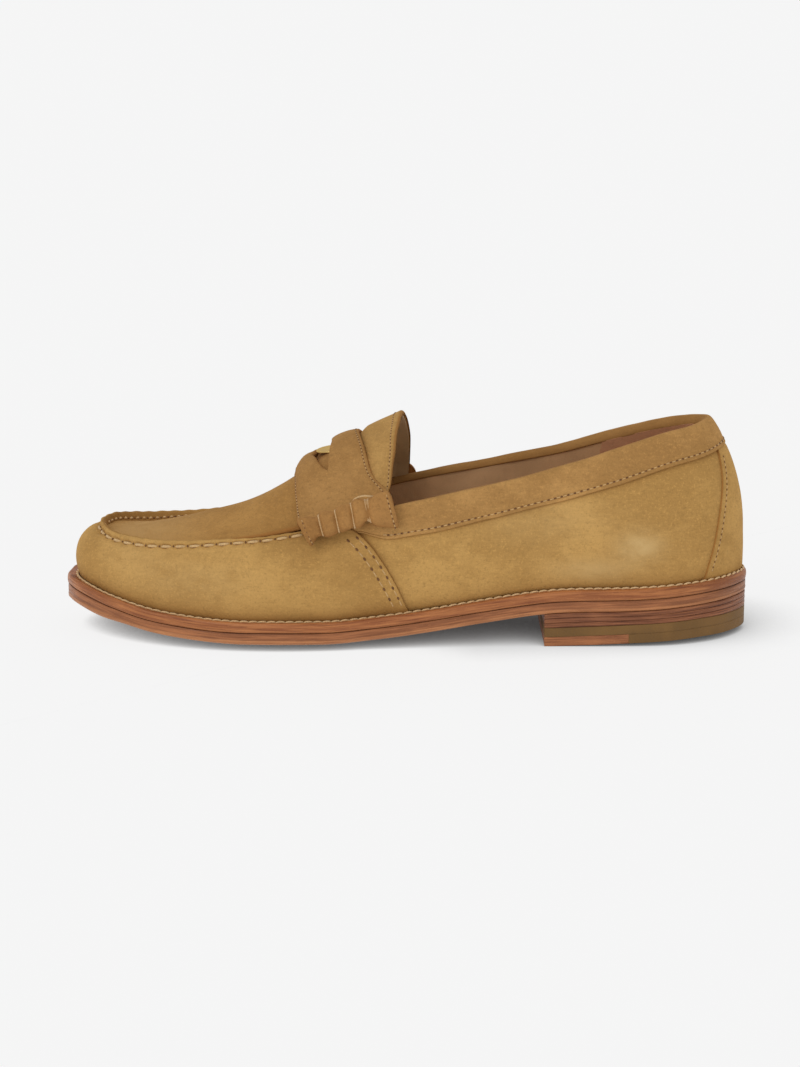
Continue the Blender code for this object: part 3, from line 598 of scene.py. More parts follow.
def edge_leather(name, colour, dark, light, rough=0.42, streak=1.0):
    """Waxed, burnished cut edge of sole leather: fibres run along it, attribute level is height."""
    n = Nodes(name)
    split = n.new("ShaderNodeSeparateXYZ")
    n.put(split.inputs[0], n.place)
    where = n.new("ShaderNodeCombineXYZ")
    n.put(where.inputs[0], split.outputs[0])
    n.put(where.inputs[1], split.outputs[1])
    n.put(where.inputs[2], n.value("level"))
    where = where.outputs[0]
    base, low, high = (np.array(linear(c)) for c in (colour, dark, light))
    streaks = n.noise(1.0, 4, 0.6, (70, 70, 2600), where, 0.3)
    bands = n.noise(1.0, 3, 0.55, (45, 45, 900), where, 0.4)
    patches = n.noise(38, 3, 0.5, (1, 1, 1), distortion=0.5)
    specks = n.noise(1.0, 2, 0.6, (1300, 1300, 2600), where)
    body = n.mix(n.span(bands, 0.34, 0.66), tuple(low), tuple(high))
    body = n.mix(0.45, body, tuple(base))
    body = n.tint(body, streaks, (0.52, 0.70, 0.0, 0.55 * streak), tone(low, 0.7))
    body = n.tint(body, streaks, (0.30, 0.46, 0.42 * streak, 0.0), tone(high, 1.15))
    body = n.tint(body, patches, (0.52, 0.70, 0.0, 0.30), tone(low, 0.85))
    body = n.tint(body, specks, (0.62, 0.74, 0.0, 0.4), tone(high, 1.3))
    # Darkening by attribute: real dirt and painted shade.
    body = n.mix(n.value("soil_and_shade"), body, tone(low, 0.32))
    bump = n.bump(specks, 0.0001, 0.4, n.bump(streaks, 0.00022, 0.5))
    return n.finish(body, n.span(streaks, 0.3, 0.7, rough - 0.08, rough + 0.12), bump,
                    Coat_Weight=0.06, Coat_Roughness=0.35, Specular_IOR_Level=0.25)


def rubber(name, colour):
    n = Nodes(name)
    base = np.array(linear(colour))
    patches = n.noise(60, 3, 0.5)
    grain = n.noise(1500, 3, 0.6)
    body = n.mix(n.span(patches, 0.35, 0.65), tone(base, 0.88), tone(base, 1.12))
    body = n.tint(body, grain, (0.55, 0.75, 0.0, 0.4), tone(base, 1.5))
    body = n.tint(body, grain, (0.25, 0.42, 0.35, 0.0), tone(base, 0.6))
    # Darkening by attribute: real dirt and painted shade.
    body = n.mix(n.value("soil_and_shade"), body, tone(base, 0.35))
    return n.finish(body, n.span(grain, 0.3, 0.7, 0.55, 0.75), n.bump(grain, 0.00015, 0.6),
                    Specular_IOR_Level=0.35)


def thread(name, colour):
    n = Nodes(name)
    base = np.array(linear(colour))
    twist = n.noise(2400, 2, 0.6, (1, 1, 1))
    body = n.mix(n.span(twist, 0.35, 0.65), tone(base, 0.78), tone(base, 1.1))
    return n.finish(body, 0.7, n.bump(twist, 0.0001, 0.6), Sheen_Weight=0.2,
                    Specular_IOR_Level=0.3)


def plain(name, colour, rough, **settings):
    n = Nodes(name)
    base = np.array(linear(colour))
    cloud = n.noise(220, 3, 0.6)
    body = n.mix(n.span(cloud, 0.35, 0.65), tone(base, 0.88), tone(base, 1.1))
    return n.finish(body, n.span(cloud, 0.3, 0.7, rough - 0.05, rough + 0.05),
                    n.bump(n.noise(1800, 2, 0.6), 0.00008, 0.5), **settings)


LOOKS = {
    "suede": suede("suede_sand", (190, 148, 86)),
    # The apron, strap, tongue and collar use the walls' suede in darker copies: painted shade of faces
    # that turn up, away from the frontal light.
    "apron": suede("suede_apron", (176, 132, 74)),
    "strap": suede("suede_strap", (172, 129, 76)),
    "roll": suede("suede_roll", (165, 120, 69)),
    "tongue": suede("suede_tongue", (186, 145, 86)),
    "collar": suede("suede_collar", (182, 138, 82), contrast=1.2),
    "lining": smooth_leather("lining_leather_looks", (218, 173, 126)),
    "tongue_lining": smooth_leather("tongue_lining_looks", (190, 152, 106), 0.6),
    "grip": suede("grip_leather_looks", (206, 160, 124), nap=0.7),
    "sock": smooth_leather("sock_leather_looks", (168, 126, 86), 0.5),
    "welt": edge_leather("welt_leather_looks", (164, 100, 58), (128, 69, 37), (194, 127, 75),
                         streak=1.3),
    "sole": edge_leather("sole_edge_looks", (156, 98, 60), (122, 72, 44), (186, 120, 76)),
    # sole_lip is the sole's leather in a lighter copy: painted light on the outsole's lower lip.
    "sole_lip": edge_leather("sole_lip_looks", (177, 115, 73), (146, 90, 56), (200, 136, 88)),
    "bottom": smooth_leather("sole_bottom_looks", (172, 124, 84), 0.45),
    "heel": edge_leather("heel_edge_looks", (130, 77, 48), (90, 49, 30), (170, 110, 72), streak=1.5),
    "rubber": rubber("olive_rubber_looks", (118, 85, 42)),
    "thread_cream": thread("thread_cream", (224, 188, 138)),
    "thread_seam": thread("thread_seam", (210, 174, 122)),
    "thread_wrap": thread("thread_wrap", (206, 170, 120)),
    "thread_tan": thread("thread_tan", (200, 162, 108)),
    # Needle holes: dark brown as painted shade inside the holes.
    "hole": plain("needle_hole", (112, 76, 44), 0.9),
    "coin": plain("coin_brass_looks", (214, 182, 116), 0.34, Metallic=1.0,
                  Specular_Tint=(1.0, 0.86, 0.6)),
    "steel": plain("steel_looks", (150, 150, 150), 0.35, Metallic=1.0),
    "cork": plain("cork_looks", (150, 110, 70), 0.9),
    "board": plain("fibre_board_looks", (176, 150, 118), 0.9),
    "foam": plain("foam_looks", (210, 200, 170), 0.95),
}


# ---------------------------------------------------------------------------------------------
# Meshes.

def quads_of(rows, cols, wrap_rows=False, wrap_cols=False, start=0, flip=False):
    i = np.arange(rows if wrap_rows else rows - 1)[:, None]
    j = np.arange(cols if wrap_cols else cols - 1)[None, :]
    a, b = start + i * cols, start + (i + 1) % rows * cols
    k = (j + 1) % cols
    faces = np.stack(np.broadcast_arrays(a + j, b + j, b + k, a + k), -1).reshape(-1, 4)
    return faces[:, ::-1] if flip else faces


def fan(pole, ring, flip=False):
    """Faces that close a ring of points round a pole."""
    if len(ring) % 2:
        ring = np.append(ring, ring[0])
    after = np.roll(ring, -2)[::2]
    faces = np.stack([np.full(len(after), pole), ring[::2], ring[1::2], after], -1)
    return faces[:, [0, 3, 2, 1]] if flip else faces


def build(name, points, faces, look, slot=None, body="shoe", hides=(), values=None, merge=0.0,
          face_looks=None, looks=None):
    """Mesh object of points in millimetres that rides on a body."""
    points = (np.asarray(points, float).reshape(-1, 3) - ORIGIN) * MM
    faces = np.asarray(faces, int)
    mesh = bpy.data.meshes.new(name)
    mesh.vertices.add(len(points))
    mesh.vertices.foreach_set("co", points.ravel())
    mesh.loops.add(faces.size)
    mesh.loops.foreach_set("vertex_index", faces.ravel())
    mesh.polygons.add(len(faces))
    mesh.polygons.foreach_set("loop_start", np.arange(0, faces.size, faces.shape[1]))
    for key, numbers in (values or {}).items():
        layer = mesh.attributes.new(key, "FLOAT", "POINT")
        layer.data.foreach_set("value", np.asarray(numbers, np.float32).ravel())
    for each in looks or [look]:
        mesh.materials.append(LOOKS[each])
    if face_looks is not None:
        mesh.polygons.foreach_set("material_index", np.asarray(face_looks, int).ravel())
    mesh.update(calc_edges=True)
    work = bmesh.new()
    work.from_mesh(mesh)
    if merge:
        bmesh.ops.remove_doubles(work, verts=work.verts, dist=merge * MM)
    bmesh.ops.recalc_face_normals(work, faces=work.faces)
    work.to_mesh(mesh)
    work.free()
    mesh.shade_smooth()
    made = bpy.data.objects.new(name, mesh)
    bpy.context.scene.collection.objects.link(made)
    if hides:
        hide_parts(*hides)
    if body:
        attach(made, body)
    return made


def shell(name, outer, inner, look, soil_and_shade=None, worn=None, **more):
    """Closed leather piece between an outer and an inner grid of points."""
    rows, cols = outer.shape[:2]
    count = rows * cols
    walk = [i * cols for i in range(rows)]
    walk += [(rows - 1) * cols + j for j in range(1, cols)]
    walk += [i * cols + cols - 1 for i in range(rows - 2, -1, -1)]
    walk += list(range(cols - 2, 0, -1))
    walk = np.array(walk)
    after = np.roll(walk, -1)
    rim = np.stack([walk, after, after + count, walk + count], -1)
    faces = np.concatenate([quads_of(rows, cols), quads_of(rows, cols, start=count, flip=True), rim])
    soil_and_shade = np.zeros((rows, cols)) if soil_and_shade is None else np.broadcast_to(soil_and_shade, (rows, cols))
    edges = np.zeros((rows, cols))
    edges[:2] = edges[-2:] = 1
    edges[:, :2] = edges[:, -2:] = 1
    values = {"soil_and_shade": np.concatenate([soil_and_shade.ravel(), soil_and_shade.ravel()]),
              "rim": np.concatenate([edges.ravel(), np.ones(count)])}
    if worn is not None:
        values["worn"] = np.concatenate([worn.ravel(), worn.ravel()])
    points = np.concatenate([outer.reshape(-1, 3), inner.reshape(-1, 3)])
    return build(name, points, faces, look, values=values, **more)


def closed_tube(rows, sides):
    """Faces of a tube of rings, closed round two poles that follow its points."""
    ring = np.arange(sides)
    return np.concatenate([quads_of(rows, sides, wrap_cols=True), fan(rows * sides, ring, flip=True),
                           fan(rows * sides + 1, (rows - 1) * sides + ring)])


def capsules(name, starts, ends, normals, radius, look, lift=0.35, sink=0.9, flat=0.75, **more):
    """Row of stitches: each a thread that rises from one hole and dives into the next."""
    steps, sides = 9, 8
    f = np.linspace(0, 1, steps)
    rise = np.sin(math.pi * f) ** 0.55
    height = -sink + (sink + lift) * rise
    thick = radius * (0.55 + 0.45 * np.sin(math.pi * f) ** 0.5)
    turn = circle(sides)
    along = unit(ends - starts)
    normals = unit(normals - along * (normals * along).sum(-1, keepdims=True))
    across = np.cross(normals, along)
    middle = starts[:, None] + (ends - starts)[:, None] * f[None, :, None]
    middle = middle + normals[:, None] * (height * radius)[None, :, None]
    ring = (normals[:, None, None] * (np.sin(turn) * flat)[None, None, :, None]
            + across[:, None, None] * np.cos(turn)[None, None, :, None])
    points = middle[:, :, None] + ring * thick[None, :, None, None]
    caps = np.stack([middle[:, 0], middle[:, -1]], 1)
    faces, everything = [], []
    each = steps * sides + 2
    one = closed_tube(steps, sides)
    for i in range(len(starts)):
        everything.append(np.concatenate([points[i].reshape(-1, 3), caps[i]]))
        faces.append(one + i * each)
    return build(name, np.concatenate(everything), np.concatenate(faces), look, **more)


def tube_of(line, radius, sides=10):
    """Closed round thread along a line of points."""
    along = unit(np.gradient(line, axis=0))
    side = unit(np.cross(along, [0.0, 0.0, 1.0]))
    up = np.cross(side, along)
    turn = circle(sides)
    size = radius * np.sqrt(np.clip(1 - np.abs(np.linspace(-1, 1, len(line))) ** 12, 0.02, 1))
    ring = side[:, None] * np.cos(turn)[None, :, None] + up[:, None] * np.sin(turn)[None, :, None]
    points = (line[:, None] + ring * size[:, None, None]).reshape(-1, 3)
    points = np.concatenate([points, line[:1], line[-1:]])
    return points, closed_tube(len(line), sides)


def dots(name, places, normals, along, sizes, look="hole", **more):
    """Needle holes: small flat lentils just proud of the leather, dark as the painted shade inside each
    hole.
    """
    sides = 10
    normals = unit(normals)
    along = unit(along - normals * (along * normals).sum(-1, keepdims=True))
    across = np.cross(normals, along)
    turn = circle(sides)
    layers = [(-1.2, 0.5), (0.0, 1.0), (0.55, 0.82), (0.85, 0.4)]
    rings = []
    for height, wide in layers:
        ring = (along[:, None] * (np.cos(turn) * sizes[0] * wide)[None, :, None]
                + across[:, None] * (np.sin(turn) * sizes[1] * wide)[None, :, None]
                + normals[:, None] * height * sizes[2])
        rings.append(places[:, None] + ring)
    points = np.stack(rings, 1).reshape(len(places), -1, 3)
    tube = quads_of(len(layers), sides, wrap_cols=True)
    top = (len(layers) - 1) * sides
    lids = []
    for base, turned in ((0, True), (top, False)):
        for k in range(1, sides // 2):
            lid = [base + k - 1, base + k, base + sides - 1 - k, base + (sides - k) % sides]
            lids.append(lid[::-1] if turned else lid)
    one = np.concatenate([tube, np.array(lids)])
    faces = np.concatenate([one + i * len(layers) * sides for i in range(len(places))])
    return build(name, points.reshape(-1, 3), faces, look, **more)


def surface_row(face, pitch):
    """Places, normals and directions at a pitch along a line on a face: face(w) for w 0 to 1."""
    w = np.linspace(0, 1, 1500)
    line, normal = face(w)
    along = travel(line)
    count = max(1, int(along[-1] / pitch))
    places = (np.arange(count) + 0.5) * along[-1] / count

    def at(values, where):
        return np.stack([np.interp(where, along, values[:, k]) for k in range(3)], 1)

    half = pitch * 0.5
    direction = unit(at(line, places + half * 0.2) - at(line, places - half * 0.2))
    return at(line, places), unit(at(normal, places)), direction, along[-1] / count


def stitched(name, face, pitch, radius, look, hole, fill=0.62, body="shoe", slot="suede", lift=0.15):
    """Row of stitches with a needle hole between each two."""
    places, normals, along, real = surface_row(face, pitch)
    places = places + normals * sway(places)[:, None]
    half = along * real * fill / 2
    capsules(name, places - half, places + half, normals, radius, look, lift=lift, body=body, slot=slot)
    holes = places + along * real / 2
    dots(name + "_holes", holes, normals, along, hole, body=body, slot=slot)


# ---------------------------------------------------------------------------------------------
# Upper.

def seam_length():
    """Distance along the raised seam from the toe tip, as stations and millimetres."""
    s = np.linspace(-8, 8, 2400)
    line = seam(s, 0)
    along = travel(line)
    return s, along - np.interp(0, s, along)


SEAM_S, SEAM_L = seam_length()


def ridge_rows(s):
    """Rows of points up the raised seam, over its crest and down to the apron."""
    top, deep = crest(s), recess(s)
    low = station(s)[..., 4]
    size = np.clip((top - low) / 3.0, 0.55, 1.0)
    shape = [(0.35, 0.28), (0.15, 0.62), (0.75, 0.9), (1.75, 1.0), (2.7, 0.9)]
    rows = []
    for inset, share in shape:
        row = seam(s, inset * size + (1 - size) * 0.6)
        row[..., 2] = low + (top - low) * share
        rows.append(row)
    for inset, drop in ((3.2, 0.42), (3.45, 0.85), (3.7, 1.25)):
        row = seam(s, inset)
        row[..., 2] = top - deep * drop - 0.15
        rows.append(row)
    return rows


def spline_rows(rows, parts):
    """More rows on smooth curves through a list of rows of points."""
    rows = np.stack(rows)
    longer = extended(rows)
    made = [spline(*longer[i:i + 4], f) for i in range(len(rows) - 1) for f in np.arange(parts) / parts]
    return np.stack(made + [rows[-1]])


def foot_stain_and_shade(up):
    """Darkening at the foot of the upper, by height above the welt: partly real stain, partly painted
    shade in the crease at the welt.
    """
    return 0.75 * np.exp(-up / 2.2) + 0.25 * np.exp(-up / 9)


def blot(points, x, z, wide, high):
    """Soft patch on the side of the shoe, 1 at its middle x, z."""
    return np.exp(-(((points[..., 0] - x) / wide) ** 2 + ((points[..., 2] - z) / high) ** 2))


def vamp_proud(from_edge):
    """How far the vamp stands out over the quarter, by distance from its rear edge."""
    return 0.95 * (1 - ease(from_edge / 13.0))


def build_vamp():
    along = spaced(VAMP_LENGTH, 0.85)
    share = along / VAMP_LENGTH
    levels = np.concatenate([[-0.06, -0.03], np.linspace(0, 0.9, 52), [0.925, 0.95, 0.97, 0.985]])
    rows = []
    for v in levels:
        level = max(v, 0)
        s = (2 * share - 1) * cut(VAMP_REAR, level)
        from_edge = np.minimum(share, 1 - share) * VAMP_LENGTH
        depth = -vamp_proud(from_edge) + rounding(along, VAMP_LENGTH, 0.7)
        if v < 0:
            depth = depth + 0.9 * (-v / 0.06)
        to_seam = (1 - level) * 42
        arc = np.interp(s, SEAM_S, SEAM_L)
        gather = np.exp(-to_seam / 5.5) * (0.42 - 0.2 * ease((np.abs(s) - 3) / 3))
        depth = depth + gather * np.cos(2 * math.pi * arc / PITCH["apron"]) * ease(to_seam / 1.5 + 0.35)
        rows.append(wall(s, v + 0 * s, depth))
    s = (2 * share - 1) * VAMP_REAR[1]
    arc = np.interp(s, SEAM_S, SEAM_L)
    wave = np.cos(2 * math.pi * arc / PITCH["apron"])
    tops = ridge_rows(s)
    for k, row in enumerate(tops[:5]):
        row[..., 2] -= 0.16 * wave * (k / 4)
        out = seam_out(s)
        row -= out * (0.22 * wave * (1 - k / 5))[:, None]
    wall_rows = np.stack(rows)
    ridge = spline_rows([rows[-1]] + tops, 4)[1:]
    outer = np.concatenate([wall_rows, ridge])
    normal = grid_normal(outer)
    if normal[20, len(s) // 4, 1] < 0:
        normal = -normal
    outer = outer + normal * sway(outer)[..., None]
    soil_and_shade = np.zeros(outer.shape[:2])
    # Darker at the foot: stain and painted shade.
    soil_and_shade[:len(levels)] = foot_stain_and_shade(np.maximum(levels, 0) * VAMP_HEIGHT)[:, None]
    seam_row = len(levels) - 1
    # Painted shade: a dark line along the crest's top where the seam hides the recess behind it, a
    # painted shadow under the beef roll, and a soft darker patch below the roll.
    toward = 0.55 + 0.45 * ease((3.5 - np.abs(s)) / 3)
    for i in range(seam_row - 6, outer.shape[0]):
        away = abs(i - seam_row) / 3.0
        inside = ease((i - seam_row - np.where(s > 0, 12.8, 15.2)) / 2.2)
        soil_and_shade[i] += 0.22 * math.exp(-away * away) + 0.78 * inside * toward
    roll_shadow = np.exp(-(((outer[..., 0] + 24) / 24) ** 4)) * (outer[..., 2] > 30)
    below = 47.5 + 0.2 * (outer[..., 0] + 40) - outer[..., 2]
    soil_and_shade += 0.30 * roll_shadow * np.exp(-np.clip(below, 0, 60) / 4.5)
    soil_and_shade += 0.12 * blot(outer, -22, 36, 16, 9)
    worn = 0.30 * blot(outer, -92, 29, 26, 9) + 0.22 * blot(outer, -118, 38, 12, 6)
    shell("vamp_leather", outer, outer - normal * THICK["vamp"], "suede", np.clip(soil_and_shade, 0, 1), worn,
          slot="suede", hides=("vamp",))


def seam_face(side, height, inset):
    """Line along the raised seam on one side, with its outward normals."""
    def face(w):
        s = side * (0.25 + (7.35 - 0.25) * w)
        low, top = station(s)[..., 4], crest(s)
        line = seam(s, inset)
        line[..., 2] = low + (top - low) * height
        out = seam_out(s)
        return line, out + np.array([0, 0, 0.35])
    return face


def build_seam_stitches():
    """Hand-sewn thread round the apron: long on the outer face, short on the inner face."""
    for side, word in ((1, "outer"), (-1, "inner")):
        stitched(f"apron_seam_{word}", seam_face(side, 0.10, -0.15), PITCH["apron"], 0.60,
                 "thread_seam", hole=(0.42, 0.72, 0.32), fill=0.80, lift=0.85)

        def inside(w, side=side):
            s = side * (0.3 + (5.2 - 0.3) * w)
            line = seam(s, 3.3)
            line[..., 2] = crest(s) - recess(s) * 0.72
            out = -seam_out(s)
            return line, out + np.array([0, 0, 0.5])
        stitched(f"apron_seam_inside_{word}", inside, PITCH["apron"] / 2, 0.5, "thread_seam",
                 hole=(0.55, 0.5, 0.25), fill=0.5, lift=0.5)


def build_apron():
    first = np.array([0.0, 0.02, 0.05, 0.1, 0.17, 0.26, 0.38, 0.5])
    s = np.concatenate([first, np.linspace(0.6, 7.6, 150)])[:, None]
    t = np.linspace(-1, 1, 71)[None, :]
    outer = apron_face(s + 0 * t, t + 0 * s)
    normal = grid_normal(outer)
    if normal[80, 35, 2] < 0:
        normal = -normal
    normal[:10] = (0, 0, 1)
    fade = (1 - np.abs(t) ** 6) * ease(s / 0.8)
    bumps = ripple(outer, 38, 8) * 0.30 + ripple(outer, 15, 9) * 0.07
    outer = outer + normal * (bumps * fade)[..., None]
    # Painted shade along the apron's edge, deep in the recess inside the raised seam. The lighter patch
    # across the apron's front is painted light that offsets the shade of its recess.
    away = (1 - np.abs(t)) * 34
    soil_and_shade = 0.55 * np.exp(-away / 1.3) * (1 - 0.5 * ease((s - 4) / 2)) + 0.16 * np.exp(-away / 6)
    worn = 0.8 * np.exp(-(((outer[..., 0] + 116) / 20) ** 2)) * (1 - t**4)
    shell("apron_leather", outer, outer - normal * THICK["apron"], "apron", soil_and_shade, worn, slot="suede",
          hides=("apron",), merge=0.0008)


def cut(line, v):
    """Station of a slanted cut line at height v: the line is its stations at v 0 and v 1."""
    return line[0] + (line[1] - line[0]) * v


def mirrored(line):
    """The same cut line on the other side of the shoe."""
    return ROUND - line[0], ROUND - line[1]


def moved(line, by):
    return line[0] + by, line[1] + by


def patch(front, rear, bottom, top, length, height, step):
    """Stations, levels and distances of a wall patch between two slanted lines."""
    along, up = spaced(length, step), spaced(height, step)
    share, level = (along / length)[:, None], (up / height)[None, :]
    v = level + 0 * share
    for _ in range(4):
        first = cut(front, v)
        u = first + (cut(rear, v) - first) * share
        high = top(u) if callable(top) else top
        v = bottom + (high - bottom) * level + 0 * u
    return u, v, along[:, None] + 0 * v, up[None, :] + 0 * u


def collar_edge(u):
    """Height v of the collar band's lower edge at station u."""
    return smooth(COLLAR_DROP, np.where(u > BACK, ROUND - u, u))


def build_quarters():
    for side in ("outer", "inner"):
        front, rear = side_lines(side, moved(VAMP_REAR, -0.26), moved(BACKSTAY_FRONT, 0.22))
        length, height = 152.0, 44.0
        u, v, along, up = patch(front, rear, -0.02, lambda u: collar_edge(u) + 0.05, length, height,
                                0.95)
        ends = (along, length - along) if side == "outer" else (length - along, along)
        to_vamp, to_back = ends[0] - 5.7, ends[1] - 4.5
        depth = 0.42 * (1 - ease(to_vamp / 7)) + 0.35 * (1 - ease(to_back / 5))
        depth = depth + 0.5 * (1 - ease(up / 2.0)) + 0.35 * ease((up - height + 6) / 5)
        outer, normal = worn_wall(u, v, depth, sway)
        # Darker at the foot (stain and painted shade), and painted shade along the joints under the
        # vamp's and backstay's edges and under the collar band.
        soil_and_shade = foot_stain_and_shade(up) + 0.7 * np.exp(-np.abs(to_vamp) / 0.9)
        soil_and_shade = soil_and_shade + 0.6 * np.exp(-np.abs(to_back) / 0.8) + 0.55 * np.exp(-np.abs(up - height + 3.2))
        worn = 1.3 * blot(outer, 100, 43, 9, 6) + 0.75 * blot(outer, 80, 33, 17, 5)
        worn += 0.3 * blot(outer, 60, 55, 26, 10)
        if side == "inner":
            worn = worn * 0.5
        shell(f"quarter_{side}_leather", outer, outer - normal * THICK["quarter"], "suede",
              np.clip(soil_and_shade, 0, 1), worn, slot="suede", hides=(f"quarter_{side}",))


def build_backstay():
    length, height = 92.0, 62.0
    u, v, along, up = patch(BACKSTAY_FRONT, mirrored(BACKSTAY_FRONT), -0.02,
                            lambda u: collar_edge(u) + 0.03, length, height, 0.95)
    depth = -0.55 + rounding(along, length, 0.8) + 0.5 * (1 - ease(up / 2))
    depth = depth + 0.5 * ease((up - height + 5) / 4)
    outer, normal = worn_wall(u, v, depth, sway)
    # Darker at the foot (stain and painted shade) and along its cut edges (raw edge and painted shade).
    soil_and_shade = np.clip(foot_stain_and_shade(up) + 0.9 * np.exp(-np.minimum(along, length - along) / 0.45), 0, 1)
    shell("backstay_leather", outer, outer - normal * THICK["backstay"], "suede", soil_and_shade, slot="suede",
          hides=("backstay",))
    for front, sign, word in ((BACKSTAY_FRONT, 1, "outer"), (mirrored(BACKSTAY_FRONT), -1, "inner")):
        def face(w, front=front, sign=sign):
            v = 0.03 + 0.63 * w
            u = cut(front, v) + sign * (0.13 + 0.05 * w)
            return wall(u, v, -0.55), wall_normal(u, v)
        stitched(f"backstay_row_{word}", face, PITCH["backstay"], 0.27, "thread_tan",
                 hole=(0.45, 0.36, 0.3), lift=0.35)


COLLAR_SECTION = [
    (0.0, 0.45), (-0.004, -0.35), (0.012, -0.95), (0.05, -1.12), (0.10, -0.86), (0.16, -0.95),
    (0.3, -1.15), (0.5, -1.15), (0.72, -1.0), (0.88, -0.7), (0.965, -0.15), (1.005, 0.8),
    (1.018, 1.9), (1.008, 3.0), (0.965, 4.2), (0.90, 5.0), (0.83, 5.45), (0.79, 5.3),
    (0.775, 4.8), (0.78, 4.0), (0.6, 3.2), (0.3, 2.4), (0.06, 1.6),
]


def build_collar():
    """Padded band round the opening, turned over the top edge and down inside."""
    count = 460
    share = np.linspace(0, 1, count)
    low = 0.65 + 0 * share
    for _ in range(6):
        first = cut(VAMP_REAR, low) - COLLAR_START
        low = collar_edge(first + (ROUND - 2 * first) * share)
    rows = []
    for height, depth in COLLAR_SECTION:
        v = low + (1 - low) * height
        first = cut(VAMP_REAR, v) - COLLAR_START
        u = first + (ROUND - 2 * first) * share
        level = np.clip(v, 0, 1)
        point = wall(u, level, depth)
        point[..., 2] += (v - level) * 40
        rows.append(point)
    rows.append(rows[0])
    section = spline_rows(rows, 4)[:-1]
    middle = section.mean(0)
    away = unit(section - middle)
    section = section + away * sway(section)[..., None]
    ends = np.minimum(share, 1 - share) * 330
    tuck = rounding(np.clip(ends, 0, 3), 60, 3.0) / 3.0
    section = section + (middle - section) * (0.75 * tuck)[None, :, None]
    caps = np.stack([section[:, 0].mean(0), section[:, -1].mean(0)])
    base = len(section) * count
    ring = np.arange(len(section)) * count
    faces = [quads_of(len(section), count, wrap_rows=True), fan(base, ring),
             fan(base + 1, ring + count - 1, flip=True)]
    k = np.arange(len(section))[:, None] / 4 + 0 * share[None, :]
    # Painted shade: under the band's outer lower edge, in the stitch row's groove, over the inside face
    # and along its inner lower edge.
    soil_and_shade = 0.55 * np.exp(-np.abs(k - 0.6) / 0.5) + 0.3 * np.exp(-(((k - 4.0) / 0.35) ** 2))
    inside = ease((k - 10.2) / 1.6) * (1 - ease((k - 18) / 2))
    soil_and_shade = soil_and_shade + 0.58 * inside + 0.5 * np.exp(-np.abs(k - 17.2) / 0.7)
    values = {"soil_and_shade": np.append(soil_and_shade, [0, 0])}
    points = np.concatenate([section.reshape(-1, 3), caps])
    build("collar_leather", points, np.concatenate(faces), "collar", slot="collar_suede",
          hides=("collar_band",), values=values)

    def face(w):
        u = 7.95 + (ROUND - 2 * 7.95) * w
        low = collar_edge(u)
        v = low + (1 - low) * 0.1
        return wall(u, v, -0.88), wall_normal(u, v)
    stitched("collar_row", face, PITCH["collar"], 0.3, "thread_tan", hole=(0.55, 0.4, 0.3),
             slot="collar_suede", lift=0.35)


def side_lines(side, front, rear):
    """The two cut lines of a piece in the order of the stations, on the outer or inner side."""
    return (front, rear) if side == "outer" else (mirrored(rear), mirrored(front))


def build_linings():
    top = lambda u: collar_edge(u) + (1 - collar_edge(u)) * 0.83

    def lining(name, lines, high, size, depth, bend, look, shade, slot):
        u, v, _, up = patch(*lines, 0.02, high, *size)
        outer, normal = worn_wall(u, v, depth, bend)
        shell(f"{name}_leather", outer, outer - normal * THICK["lining"], look, shade(outer, up),
              slot=slot, hides=(name,))
    for side in ("outer", "inner"):
        lines = side_lines(side, moved(VAMP_REAR, -0.42), moved(GRIP_FRONT, 0.25))
        lining(f"quarter_lining_{side}", lines, top, (96, 48, 1.6), 3.9,
               lambda points: ripple(points, 24, 51) * 0.25, "lining",
               lambda points, up: 0.25 * np.exp(-up / 6) + 0.34 * ease((points[..., 0] - 2) / 40),
               "lining_leather")
    lining("heel_grip", (GRIP_FRONT, mirrored(GRIP_FRONT)), top, (150, 56, 1.6), 4.6,
           lambda points: ripple(points, 20, 52) * 0.2, "grip",
           lambda points, up: 0.25 * np.exp(-up / 6), "grip_leather")
    lines = moved(mirrored(VAMP_REAR), 0.1 - ROUND), moved(VAMP_REAR, -0.1)
    lining("vamp_lining", lines, 0.93, (380, 44, 2.2), 2.9, lambda points: 0 * points[..., 0],
           "lining", lambda points, up: 0 * up, "lining_leather")


def build_footbed():
    """Sock the foot stands on, and the foam pad that lifts its heel end."""
    s = np.concatenate([np.linspace(0.12, 0.6, 6)[:-1], np.linspace(0.6, BACK - 0.25, 120)])
    t = np.linspace(0, 1, 41)[None, :, None]
    plan = edge(s, SOCK_INSET)[:, None] * (1 - t) + edge(-s, SOCK_INSET)[:, None] * t
    rise = SOCK_TOP + HEEL_PAD_RISE * ease((plan[..., 0] - 10) / 36)
    cup = 1.1 * np.abs(2 * t[..., 0] - 1) ** 5
    face = on_sole(plan, rise + cup)
    face[..., 2] += ripple(face, 30, 55) * 0.2
    low = face - np.array([0, 0, THICK["sock"]])
    shell("sock_leather", face, low, "sock", 0.5 * np.abs(2 * t[..., 0] - 1) ** 10 + 0 * rise,
          slot="lining_leather", hides=("sock_liner",))

    s = np.linspace(9.4, BACK - 0.4, 70)
    plan = edge(s, PAD_INSET)[:, None] * (1 - t) + edge(-s, PAD_INSET)[:, None] * t
    rise = HEEL_PAD_RISE * ease((plan[..., 0] - 10) / 36)
    crown = 0.25 * (1 - (2 * t[..., 0] - 1) ** 4)
    foam_top = on_sole(plan, SOCK_TOP - 1.75 + rise + crown)
    foam_low = on_sole(plan, SOCK_TOP - 1.9 + 0 * rise)
    pad = shell("heel_pad_foam", foam_top, foam_low, "foam", hides=("heel_pad",))


def strap_bend(points):
    """Gentle unevenness of the strap."""
    return ripple(points, 26, 61) * 0.2 + ripple(points, 9, 62) * 0.05


